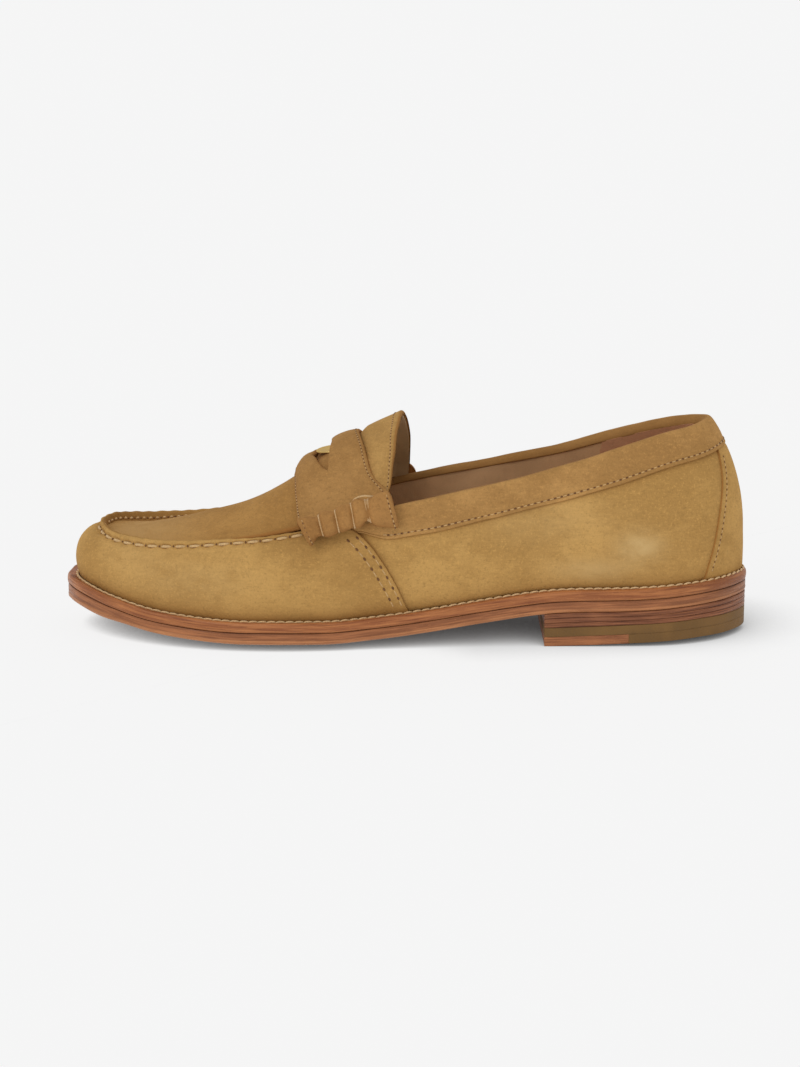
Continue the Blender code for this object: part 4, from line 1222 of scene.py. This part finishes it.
def tongue_bend(points):
    """Gentle unevenness of the tongue."""
    return ripple(points, 24, 71) * 0.22 + ripple(points, 9, 72) * 0.05


def face_normal(face, share, t):
    """Outward direction of a face that is a function of share and t."""
    gap = 0.01
    a = face(share + gap, t) - face(share - gap, t)
    b = face(share, t + gap) - face(share, t - gap)
    return unit(np.cross(a, b))


def build_strap():
    """Saddle strap with a pointed slit on top, sewn along its front and rear edges."""
    cols, across = 241, 118.0
    t = np.linspace(-1, 1, cols)
    along = (t + 1) / 2 * across
    opening = np.clip(1 - (t / SLIT_HALF) ** 2, 0, 1)
    near = ease(opening / 0.15)
    rear_lip = SLIT_SHARES[1] + 0 * t
    front_lip = rear_lip - (SLIT_SHARES[1] - SLIT_SHARES[0]) * opening
    points, faces, soil_and_shade_rows, rims, count = [], [], [], [], 0
    for front, first, last, length in ((True, 0 * t, front_lip, 13.0),
                                       (False, rear_lip, 0 * t + 1, 16.0)):
        up = spaced(length, 0.55, (0.0, 0.12, 0.3, 0.55, 0.9, 1.3))
        level = (up / length)[:, None]
        share = first + (last - first) * level
        wide = t[None, :] + 0 * level
        face, normal = strap_face(share, wide), face_normal(strap_face, share, wide)
        outer_end = (up if front else length - up)[:, None]
        lip_end = (length - up if front else up)[:, None]
        depth = rounding(outer_end, 99, 1.1) + rounding(lip_end, 99, 0.8) * near
        depth = depth + rounding(along, across, 1.0)[None, :]
        row_place = np.abs(outer_end - 1.55)
        depth = depth + 0.16 * np.exp(-((row_place / 0.5) ** 2))
        if front:
            depth = depth + 0.9 * near * opening * np.exp(-lip_end / 3.0)
        else:
            depth = depth + 0.5 * near * np.exp(-lip_end / 2.2)
        face = face - normal * depth[..., None]
        face = face + normal * strap_bend(face)[..., None]
        # Painted shade in the stitch row's groove, along the slit's lips and at the strap's outer ends.
        soil_and_shade = 0.18 * np.exp(-row_place / 0.8) + 0.5 * near * np.exp(-lip_end / 0.6)
        soil_and_shade = np.clip(soil_and_shade + 0.35 * np.exp(-outer_end / 0.5), 0, 1)
        rim = np.zeros(face.shape[:2])
        rim[outer_end[:, 0] < 0.2] = 1
        rim = np.maximum(rim, (lip_end < 0.2) * near)
        rows = len(up)
        size = rows * cols
        points += [face.reshape(-1, 3), (face - normal * THICK["strap"]).reshape(-1, 3)]
        soil_and_shade_rows += [soil_and_shade.ravel(), soil_and_shade.ravel()]
        rims += [rim.ravel(), np.ones(size)]
        faces += [quads_of(rows, cols, start=count),
                  quads_of(rows, cols, start=count + size, flip=True)]
        lip_row = rows - 1 if front else 0
        end_row = 0 if front else rows - 1
        j = np.arange(cols - 1)
        open_part = j[(opening[:-1] > 0) | (opening[1:] > 0)]
        for row, columns in ((end_row, j), (lip_row, open_part)):
            a = count + row * cols + columns
            faces.append(np.stack([a, a + 1, a + 1 + size, a + size], -1))
        i = np.arange(rows - 1)
        for column in (0, cols - 1):
            a = count + i * cols + column
            faces.append(np.stack([a, a + cols, a + cols + size, a + size], -1))
        count += 2 * size
    values = {"soil_and_shade": np.concatenate(soil_and_shade_rows), "rim": np.concatenate(rims)}
    build("strap_leather", np.concatenate(points), np.concatenate(faces), "strap", slot="suede",
          hides=("saddle_strap",), values=values, merge=0.004)

    # Leather under the slit, with the hollow that the coin sits in; the hollow's middle is painted dark
    # as painted shade.
    t = np.linspace(-0.56, 0.56, 81)
    level = np.linspace(0, 1, 25)[:, None]
    share, wide = 0.2 + 0.46 * level + 0 * t, t[None, :] + 0 * level
    face, normal = strap_face(share, wide), face_normal(strap_face, share, wide)
    sunk = 1.9 + 1.7 * np.clip(1 - (t / 0.36) ** 2, 0, 1)
    face = face - normal * sunk[None, :, None]
    soil_and_shade = 0.2 + 0.8 * ease((0.30 - np.abs(t)) / 0.14)[None, :] + 0 * level
    shell("slit_backing", face, face - normal * 0.8, "strap", soil_and_shade, slot="suede")

    for word, share in (("front", 0.06), ("rear", 0.95)):
        def face(w, share=share):
            t = -0.985 + 1.97 * w
            at = share + 0 * t
            normal = face_normal(strap_face, at, t)
            point = strap_face(at, t) - normal * 0.16
            return point + normal * (strap_bend(point) - sway(point))[:, None], normal
        stitched(f"strap_row_{word}", face, PITCH["strap"], 0.22, "thread_tan", hole=(0.36, 0.36, 0.3),
                 lift=0.3)


def tongue_grid(share, t):
    face = tongue_face(share, t)
    normal = grid_normal(face)
    rows, cols = face.shape[:2]
    if normal[rows // 2, cols // 2, 2] < 0:
        normal = -normal
    return face, normal


def build_tongue():
    length, across, height = 22.0, 92.0, 1.22
    up = spaced(length, 0.6, (0.0, 0.15, 0.4, 0.7, 1.1))
    t = spaced(across, 0.8) / across * 2 - 1
    share = (up / length)[:, None] * height - (height - 1)
    wide = t[None, :] + 0 * share
    face, normal = tongue_grid(share + 0 * wide, wide)
    under = ease((0.22 - share) / 0.35)
    sunk = 0.5 + 1.1 * np.clip(1 - (wide / 0.7) ** 2, 0, 1)
    depth = rounding(up, length, 0.8)[:, None] * (share > 0.5) + sunk * under
    bend = tongue_bend(face) * ease((share + 0.1) / 0.3)
    face = face + normal * (bend - depth)[..., None]
    from_edge = (length - up)[:, None]
    soil_and_shade = 0.55 * np.exp(-from_edge / 0.5) + 0 * wide
    outer = shell("tongue_leather", face, face - normal * THICK["tongue"], "tongue", soil_and_shade,
                  slot="suede", body=None, hides=("tongue",))
    rows = from_edge[:, 0] >= 1.1
    inner_face = (face - normal * 1.38)[rows]
    lining = shell("tongue_lining_leather", inner_face, inner_face - normal[rows] * THICK["lining"],
                   "tongue_lining", 0.15 + 0 * wide[rows], slot="lining_leather", body=None,
                   hides=("tongue_lining",))
    pieces = [outer, lining]

    def row(w):
        t = -0.95 + 1.9 * w
        at = 0.84 + 0 * t
        point, normal = tongue_face(at, t), face_normal(tongue_face, at, t)
        return point + normal * (tongue_bend(point) - sway(point) - 0.05)[:, None], normal
    before = set(bpy.data.objects)
    stitched("tongue_row", row, PITCH["tongue"], 0.22, "thread_tan", hole=(0.36, 0.34, 0.3), lift=0.3,
             body=None)
    pieces += [o for o in bpy.data.objects if o not in before]
    for piece in pieces:
        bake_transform(piece)


ROLL_TOP = [(-46.6, 57.6), (-42, 58.4), (-38.6, 58.2), (-35, 60.9), (-31.6, 60.6), (-28, 63.3),
            (-24.6, 63.6), (-21, 66.4), (-17.4, 65.9), (-13, 68.0), (-7.6, 69.3), (-5.2, 66.0)]
ROLL_BOTTOM = [(-46.2, 53.6), (-43.4, 48.4), (-40.4, 45.6), (-37.6, 49.6), (-33, 49.7), (-29.4, 51.2),
               (-26, 51.7), (-23.2, 52.9), (-19.5, 53.5), (-16.4, 56.4), (-12.5, 54.4), (-7, 53.6),
               (-3.0, 53.4)]
# Thread wraps of a roll: where along it, how wide the pinch is, and where each turn lies.
ROLL_WRAPS = ((0.20, 0.026, (0.0,)), (0.375, 0.026, (0.0,)), (0.545, 0.026, (0.0,)),
              (0.71, 0.036, (-0.018, 0.0, 0.018)))
ROLL_LEAN = [(0, 2.9), (0.12, 1.5), (0.3, 1.1), (0.5, 0.9), (0.7, 0.7), (0.85, 1.3), (1, 2.3)]


def roll_point(side, w, angle, extra=0.0):
    """Point of the beef roll's skin: w 0 to 1 from front to rear, angle round it."""
    w, angle = np.broadcast_arrays(w, angle)
    lean = smooth(ROLL_LEAN, w)
    mid_x = -43.7 + 39.0 * w
    top = smooth(ROLL_TOP, mid_x - lean)
    bottom = smooth(ROLL_BOTTOM, mid_x + lean)
    pinch = sum(np.exp(-(((w - at) / wide) ** 2)) for at, wide, _ in ROLL_WRAPS)
    flare = np.exp(-w / 0.06) + np.exp(-(1 - w) / 0.10)
    half = 4.4 * (1 - 0.36 * pinch) * (1 - 0.66 * np.clip(flare, 0, 1))
    high = (top - bottom) / 2 * (1 - 0.09 * pinch) + extra * 0.4
    sine, cosine = np.sin(angle), np.cos(angle)
    behind = 4.9 * (1 - 0.6 * np.clip(flare, 0, 1))
    y_out = (np.where(cosine > 0, half, behind) + extra) * np.sign(cosine) * np.abs(cosine) ** 0.82
    z = (top + bottom) / 2 + high * np.sign(sine) * np.abs(sine) ** 0.95
    x = mid_x - lean * sine
    if side == "inner":
        x = x + 7.0 * ease((w - 0.8) / 0.2)
    if side == "outer":
        y = -41.9 - y_out
    else:
        y = 44.2 - 3.2 * w + y_out
    return np.stack([x, y, z], -1)


def build_rolls():
    w = np.concatenate([[0.0, 0.004, 0.012], np.linspace(0.025, 0.975, 130), [0.988, 0.996, 1.0]])
    shrink = np.sqrt(np.clip(np.minimum(w, 1 - w) / 0.02, 0.03, 1))
    turn = circle(60)
    for side in ("outer", "inner"):
        skin = roll_point(side, w[:, None], turn[None, :])
        middle = skin.mean(1, keepdims=True)
        skin = middle + (skin - middle) * shrink[:, None, None] ** 0.35
        away = unit(skin - middle)
        skin = skin + away * (ripple(skin, 9, 81) * 0.16 + ripple(skin, 20, 82) * 0.2)[..., None]
        # Painted shade in the pinches at the wraps and on the roll's underside.
        pinch = sum(np.exp(-(((w - at) / 0.016) ** 2)) for at, _, _ in ROLL_WRAPS)[:, None]
        soil_and_shade = 0.34 * pinch + 0.45 * np.clip(-np.sin(turn), 0, 1)[None, :] ** 3 + 0 * w[:, None]
        rows, cols = skin.shape[:2]
        caps = np.stack([skin[0].mean(0), skin[-1].mean(0)])
        values = {"soil_and_shade": np.append(soil_and_shade, [0, 0])}
        build(f"beef_roll_{side}_leather", np.concatenate([skin.reshape(-1, 3), caps]),
              closed_tube(rows, cols), "roll", slot="suede", hides=(f"beef_roll_{side}",),
              values=values)

        points, faces = [], []
        around, bead, radius = circle(72), circle(10), 0.30
        for k, at in enumerate(at + offset for at, _, offsets in ROLL_WRAPS for offset in offsets):
            line = roll_point(side, at + 0.003 * np.sin(around + k), around, -0.05)
            tangent = unit(np.roll(line, -1, 0) - np.roll(line, 1, 0))
            out = unit(line - line.mean(0))
            aside = unit(np.cross(tangent, out))
            out = np.cross(aside, tangent)
            tube = (line[:, None] + aside[:, None] * (np.cos(bead) * radius * 1.15)[None, :, None]
                    + out[:, None] * (np.sin(bead) * radius)[None, :, None])
            faces.append(quads_of(len(around), len(bead), True, True, start=k * 720))
            points.append(tube.reshape(-1, 3))
        build(f"beef_roll_{side}_wraps", np.concatenate(points), np.concatenate(faces), "thread_wrap",
              slot="suede")

        sign = -1 if side == "outer" else 1
        turn_in = np.linspace(0, 1, 40)
        height = 65.2 + 1.7 * np.sin(math.pi * turn_in ** 0.8) + 1.8 * turn_in
        aside = sign * (43.6 - 2.2 * np.abs(2 * turn_in - 1) ** 3)
        loop = np.stack([-22.5 + 9.5 * turn_in, aside, height], -1)
        build(f"beef_roll_{side}_loop", *tube_of(loop, 0.36), "thread_wrap", slot="suede")

        for word, place in (("front", 0.05), ("rear", 0.955)):
            def face(w, side=side, sign=sign, place=place):
                angle = 1.2 - 2.4 * w
                at = roll_point(side, place + 0 * w, angle, 0.0)
                return at, np.stack([0 * w, sign + 0 * w, 0.4 + 0 * w], -1)
            stitched(f"beef_roll_{side}_row_{word}", face, PITCH["roll"], 0.22, "thread_tan",
                     hole=(0.4, 0.36, 0.34), lift=0.3)


def build_vamp_rows():
    """Double row of stitches that holds the vamp over each quarter."""
    for side, sign in (("outer", 1), ("inner", -1)):
        for k, back in enumerate((0.08, 0.245)):
            def face(w, back=back, sign=sign):
                v = 0.035 + 0.66 * w
                u = sign * (cut(VAMP_REAR, v) - back)
                return wall(u, v, -vamp_proud(back * STATION_PITCH)), wall_normal(u, v)
            stitched(f"vamp_row_{side}_{k + 1}", face, PITCH["vamp"], 0.3, "thread_tan",
                     hole=(0.85, 0.5, 0.3), fill=0.56, lift=0.15)


# ---------------------------------------------------------------------------------------------
# Bottom.

def perimeter(count=720):
    return np.linspace(0, ROUND, count, endpoint=False)


def loop_piece(name, u, profile, look, soil_and_shade, **more):
    """Closed ring round the sole from a closed profile of (inset, height above the tread)."""
    points = np.stack([on_sole(edge(u, inset), height) for inset, height in profile])
    rows, cols = points.shape[:2]
    level = np.array([h for _, h in profile])[:, None] * MM + np.zeros((1, cols))
    # Painted shade: the edge darkens toward the back, which turns away from the light.
    dirt_and_shade = np.array(soil_and_shade)[:, None] + BACK_SHADE * ease((points[..., 0] - 100) / 45)
    values = {"level": level, "soil_and_shade": dirt_and_shade}
    return build(name, points, quads_of(rows, cols, True, True), look, values=values, **more)


def build_welt():
    base = OUTSOLE + 0.1
    top = OUTSOLE + WELT_SEAM + WELT
    profile = [(9.0, base), (4.0, base), (1.0, base), (0.5, base + 0.05), (0.24, base + 0.25),
               (0.1, base + 0.7), (0.0, base + 1.4), (-0.05, base + 2.0), (0.02, top - 1.5),
               (0.22, top - 0.85), (0.62, top - 0.34), (1.1, top - 0.06), (1.6, top + 0.0),
               (2.2, top - 0.02), (3.4, top - 0.05), (4.2, top - 0.18), (5.2, top - 0.3),
               (9.0, top - 0.2)]
    # Darker on the welt's underside by the outsole and on its top under the upper: painted shade in
    # these joints.
    soil_and_shade = [0, 0.3, 0.5, 0.4, 0.25, 0.08, 0, 0, 0, 0, 0, 0, 0, 0, 0.05, 0.35, 0.8, 0.9]
    fine_profile, fine_soil_and_shade = refine(profile, soil_and_shade)
    loop_piece("welt_strip", perimeter(), fine_profile, "welt", soil_and_shade=fine_soil_and_shade, slot="welt_leather",
               hides=("welt",))

    u = perimeter(6000)
    margin = station(u)[..., 5]
    line = on_sole(edge(u, margin - 1.05), top + 0.1)
    along = travel(line)
    pitch = PITCH["welt"]
    count = int(along[-1] / pitch)
    places = (np.arange(count) + 0.5) * along[-1] / count
    at = np.interp(places, along, u)

    def welt_point(u, extra):
        return on_sole(edge(u, station(u)[..., 5] + extra), top + 0.12)
    ahead = np.interp(places + 0.54 * pitch, along, u)
    behind = np.interp(places - 0.54 * pitch, along, u)
    starts, ends = welt_point(behind, -1.45), welt_point(ahead, -0.6)
    normal = np.tile([0.0, 0.0, 1.0], (count, 1)) + 0.5 * np.concatenate(
        [unit(edge(at) - edge(at, 1)), np.zeros((count, 1))], -1)
    capsules("welt_stitches", starts, ends, normal, 0.48, "thread_cream", lift=0.45, sink=0.8,
             slot="welt_leather")


def refine(profile, values, parts=3):
    """Profile and values with more points on smooth curves between the given ones."""
    points = np.concatenate([np.array(profile, float), np.array(values, float)[:, None]], 1)
    around = np.concatenate([points[-1:], points, points[:2]])
    made = np.array([spline(*around[i:i + 4], f) for i in range(len(points))
                     for f in np.arange(parts) / parts])
    return made[:, :2].tolist(), np.clip(made[:, 2], 0, 1).tolist()


def build_outsole():
    top = OUTSOLE
    edge_profile = [(6.0, top), (1.2, top), (0.6, top - 0.05), (0.36, top - 0.22), (0.25, top - 0.6),
                    (0.22, top - 1.4), (0.22, 2.5), (0.26, 2.1), (0.30, 1.95), (0.22, 1.75),
                    (0.12, 1.5), (0.16, 1.0), (0.36, 0.5), (0.75, 0.15), (1.3, 0.0), (2.2, 0.0)]
    # Darker at its top under the welt, in its groove and near the floor: painted shade at the joint, in
    # the groove and at the ground.
    soil_and_shade = [0.7, 0.7, 0.5, 0.3, 0.08, 0, 0, 0.1, 0.28, 0.15, 0, 0, 0.05, 0.2, 0.2, 0.1]
    u = perimeter()
    rows = [on_sole(edge(u, i), h) for i, h in edge_profile]
    points = np.stack(rows)
    low_down = ease(1 - np.array([h for _, h in edge_profile]) / top)[:, None]
    points[..., 2] -= 1.3 * low_down * ease((-116 - points[..., 0]) / 22)
    rings, cols = points.shape[:2]
    faces = [quads_of(rings, cols, wrap_cols=True)]
    looks = np.zeros(len(faces[0]), int)
    # The lower rows take sole_lip, the sole leather painted lighter as painted light; the last rows take
    # the walking face's look.
    looks[(rings - 8) * cols:] = 1
    looks[(rings - 3) * cols:] = 2

    # Walking face and hidden upper face: rows between the two sides, joined to the rim rings.
    half, steps = cols // 2, 24
    left = np.arange(1, half)
    t = np.linspace(0, 1, steps + 1)[1:-1][None, :, None]
    inner_points, face_looks = [], [looks]
    count = rim_count = rings * cols
    for ring, height, kind in ((rings - 1, 0.0, 2), (0, top, 0)):
        near, far = points[ring, left, :2], points[ring, cols - left, :2]
        inside = on_sole(near[:, None] * (1 - t) + far[:, None] * t, height)
        index = count + np.arange(inside[..., 0].size).reshape(inside.shape[:2])
        count += index.size
        inner_points.append(inside.reshape(-1, 3))
        first = ring * cols
        table = np.concatenate([(first + left)[:, None], index, (first + cols - left)[:, None]], 1)
        quad = np.stack([table[:-1, :-1], table[1:, :-1], table[1:, 1:], table[:-1, 1:]], -1)
        faces.append(quad.reshape(-1, 4))
        for pole, line in ((first, table[0]), (first + half, table[-1])):
            faces.append(np.stack([np.full(steps // 2, pole), line[0:-1:2], line[1::2], line[2::2]],
                                  -1))
        face_looks.append(np.full(len(faces[-3]) + steps, kind))
    hidden = np.zeros(count - rim_count)
    points = np.concatenate([points.reshape(-1, 3)] + inner_points)
    level = np.concatenate([np.repeat([h for _, h in edge_profile], cols), hidden])
    dirt_and_shade = np.concatenate([np.repeat(soil_and_shade, cols), hidden + 0.1])
    # Painted shade: the edge darkens toward the back, which turns away from the light.
    dirt_and_shade = dirt_and_shade + BACK_SHADE * ease((points[:, 0] - 100) / 45)
    build("outsole_leather", points, np.concatenate(faces), "sole", slot="sole_leather",
          hides=("outsole",), values={"level": level * MM, "soil_and_shade": dirt_and_shade},
          looks=["sole", "sole_lip", "bottom"], face_looks=np.concatenate(face_looks))


def heel_floor(x):
    """Height of the heel's walking face, which rises to the back."""
    return HEEL_BACK_RISE * np.clip((x - HEEL_RISE[0]) / (HEEL_RISE[1] - HEEL_RISE[0]), 0, 1)


def heel_outline(inset, count=220):
    """Closed outline of the heel: straight breast, then round the back."""
    s = np.linspace(0, ROUND, 4000)
    ring = edge(s, inset)
    rear = ring[ring[:, 0] > BREAST_X + inset]
    line = resample(rear, 1.0)
    line = resample(line, travel(line)[-1] / (count - 1))
    start, stop = line[0], line[-1]
    breast = stop + (start - stop) * np.linspace(0, 1, 42)[1:-1, None]
    return np.concatenate([line, breast])


def heel_slab(part, ending, low, high, look, slot, edge_round=0.1, span=None, bow=0.0, inset=0.35,
              grime_and_shade=0.8):
    """Layer of the heel between two height functions of x, y, with its edges eased."""
    name = f"{part}_{ending}"
    outline = heel_outline(inset)
    if span:
        outline = outline[(outline[:, 0] >= span[0]) & (outline[:, 0] <= span[1])]
    along = unit(np.roll(outline, -1, 0) - np.roll(outline, 1, 0))
    out = np.stack([along[:, 1], -along[:, 0]], -1)
    middle = np.array([outline[:, 0].mean(), 0.0])
    if ((outline - middle) * out).sum(-1).mean() < 0:
        out = -out
    profile = [(3.0, 0.0), (edge_round, 0.0), (edge_round * 0.35, 0.06), (0.0, 0.2), (-bow, 0.5),
               (0.0, 0.8), (edge_round * 0.35, 0.94), (edge_round, 1.0), (3.0, 1.0)]
    sections = []
    for inset, share in profile:
        x, y = (outline - out * inset).T
        sections.append(np.stack([x, y, low(x, y) + (high(x, y) - low(x, y)) * share], -1))
    points = np.stack(sections)
    rows, cols = points.shape[:2]
    base, ring = rows * cols, np.arange(cols)
    centres = points[[0, -1]].mean(1)
    for centre, height in zip(centres, (low, high)):
        centre[2] = height(centre[0:1], centre[1:2])[0]
    faces = [quads_of(rows, cols, wrap_cols=True), fan(base, ring), fan(base + 1, base - cols + ring)]
    level = np.append(np.repeat([share * 4.0 for _, share in profile], cols), [0, 0])
    level = level * MM + 0.01 * (sum(map(ord, name)) % 17)
    # Darker at each layer's lower and upper edges: painted shade in the joints between layers and at the
    # floor.
    soil_and_shade = np.append(np.repeat([0.5, 0.4, 0.25, 0.05, 0, 0.0, 0.1, 0.2, 0.3], cols), [0.3, 0.3])
    build(name, np.concatenate([points.reshape(-1, 3), centres]), np.concatenate(faces), look,
          slot=slot, hides=(part,), values={"level": level, "soil_and_shade": soil_and_shade * grime_and_shade})


def build_heel():
    def above(height):
        return lambda x, y: heel_floor(x) + height

    def stack(share):
        low = above(TOP_PIECE + RUBBER_LIFT + 0.1)
        return lambda x, y: low(x, y) + (tread(x, y) - 0.05 - low(x, y)) * share
    for i in range(LIFT_COUNT):
        heel_slab(f"heel_lift_{i + 1}", "leather", stack(i / LIFT_COUNT + 0.02),
                  stack((i + 1) / LIFT_COUNT), "heel", "heel_leather", bow=0.08)
    heel_slab("heel_rubber_lift", "body", above(TOP_PIECE + 0.03), above(TOP_PIECE + RUBBER_LIFT + 0.05),
              "rubber", "olive_rubber", edge_round=0.05, grime_and_shade=0.3)
    heel_slab("top_piece_leather", "body", above(0), above(TOP_PIECE), "sole", "heel_leather",
              span=(0, 97.2), inset=0.42)
    heel_slab("top_piece_rubber", "body", above(0), above(TOP_PIECE), "rubber", "olive_rubber",
              edge_round=0.05, span=(95.6, 200), grime_and_shade=0.3)


def build_coin():
    """Plain coin: a rim, a dished face and no marks."""
    profile = [(0.02, 0.30), (3.2, 0.31), (3.5, 0.36), (3.8, 0.31), (6.2, 0.30), (6.5, 0.36),
               (6.75, 0.47), (7.15, 0.5), (7.42, 0.42), (7.5, 0.3)]
    profile = profile + [(r, -z) for r, z in profile[::-1]]
    r, z = np.array(profile).T[..., None]
    x, y = r * np.cos(circle(COIN_SIDES)), r * np.sin(circle(COIN_SIDES))
    low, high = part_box("coin")
    centre = np.array((low + high) / 2) / MM + ORIGIN
    slope = math.atan2(high.z - low.z - COIN_THICK * MM, high.x - low.x)
    turned = np.stack([x * math.cos(slope) - z * math.sin(slope), y,
                       x * math.sin(slope) + z * math.cos(slope)], -1)
    build("coin_plain", turned + centre, quads_of(len(profile), COIN_SIDES, wrap_cols=True), "coin",
          slot="coin_brass", body="coin", hides=("coin",))


# ---------------------------------------------------------------------------------------------
# Stage.

def floor_material():
    """Pale glowing floor with a painted shadow: it glows less the more of the sky the shoe hides from
    it.
    """
    made = bpy.data.materials.new("floor")
    made.use_nodes = True
    tree = made.node_tree
    shader = tree.nodes["Principled BSDF"]
    shader.inputs["Base Color"].default_value = (0.09, 0.09, 0.09, 1)
    shader.inputs["Roughness"].default_value = 1.0
    shader.inputs["Specular IOR Level"].default_value = 0.0
    shader.inputs["Emission Color"].default_value = (1, 1, 1, 1)
    near = tree.nodes.new("ShaderNodeAmbientOcclusion")
    near.samples = 16
    near.inputs["Distance"].default_value = FLOOR_REACH
    facing = tree.nodes.new("ShaderNodeCombineXYZ")
    for k, number in enumerate(Vector(FLOOR_FACING).normalized()):
        facing.inputs[k].default_value = number
    tree.links.new(facing.outputs[0], near.inputs["Normal"])

    def ranged(numbers):
        node = tree.nodes.new("ShaderNodeMapRange")
        for key, number in numbers.items():
            node.inputs[key].default_value = number
        return node
    span = ranged({"From Min": 0.07, "To Min": 0.02, "To Max": FLOOR_GLOW})
    place = tree.nodes.new("ShaderNodeSeparateXYZ")
    tree.links.new(tree.nodes.new("ShaderNodeTexCoord").outputs["Object"], place.inputs[0])
    # Painted shadow fainter under the toe and ball and stronger from the waist back, by the floor's x.
    shadow_strength_by_x = ranged({"From Min": -0.02, "From Max": 0.03, "To Min": 0.5, "To Max": 0.88})
    for start, end in ((near.outputs["AO"], span.inputs["Value"]),
                       (span.outputs["Result"], shader.inputs["Emission Strength"]),
                       (place.outputs[0], shadow_strength_by_x.inputs["Value"]),
                       (shadow_strength_by_x.outputs["Result"], span.inputs["From Max"])):
        tree.links.new(start, end)
    return made


def build_stage():
    scene = bpy.context.scene
    scene.view_settings.view_transform = "Standard"
    world = bpy.data.worlds.new("studio")
    scene.world = world
    world.use_nodes = True
    world.node_tree.nodes["Background"].inputs[0].default_value = (1, 1, 1, 1)
    world.node_tree.nodes["Background"].inputs[1].default_value = SKY

    mesh = bpy.data.meshes.new("floor")
    corners = [(-1, -1), (1, -1), (1, 1), (-1, 1)]
    mesh.from_pydata([(x * FLOOR_HALF, y * FLOOR_HALF, 0) for x, y in corners], [], [(0, 1, 2, 3)])
    floor = bpy.data.objects.new("floor", mesh)
    scene.collection.objects.link(floor)
    mesh.materials.append(floor_material())

    for name, power, angle, direction in SUNS:
        lamp = bpy.data.lights.new(name, "SUN")
        lamp.energy = power
        lamp.angle = math.radians(angle)
        holder = bpy.data.objects.new(name, lamp)
        holder.rotation_euler = Vector(direction).to_track_quat("Z", "Y").to_euler()
        scene.collection.objects.link(holder)

    camera = bpy.data.cameras.new("camera")
    camera.lens = CAMERA_LENS
    camera.sensor_width = 36.0
    camera.clip_end = 200
    holder = bpy.data.objects.new("camera", camera)
    target = Vector(CAMERA_TARGET)
    toward = Vector((0, -math.cos(CAMERA_TILT), math.sin(CAMERA_TILT)))
    holder.location = target + toward * CAMERA_DISTANCE
    holder.rotation_euler = (target - holder.location).to_track_quat("-Z", "Y").to_euler()
    scene.collection.objects.link(holder)
    scene.camera = holder


build_vamp()
build_seam_stitches()
build_apron()
build_quarters()
build_backstay()
build_collar()
build_linings()
build_footbed()
build_strap()
build_tongue()
build_rolls()
build_vamp_rows()
build_welt()
build_outsole()
build_heel()
build_coin()

HIDDEN = {"shank": "steel", "cork_filler": "cork", "insole": "board", "heel_pad": "foam",
          "heel_counter": "board", "toe_puff": "board"}
for name, node in frame["nodes"].items():
    look = HIDDEN.get(name, "steel" if name.startswith("heel_nail") else None)
    if look:
        for k in range(len(node.material_slots)):
            node.material_slots[k].material = LOOKS[look]

build_stage()
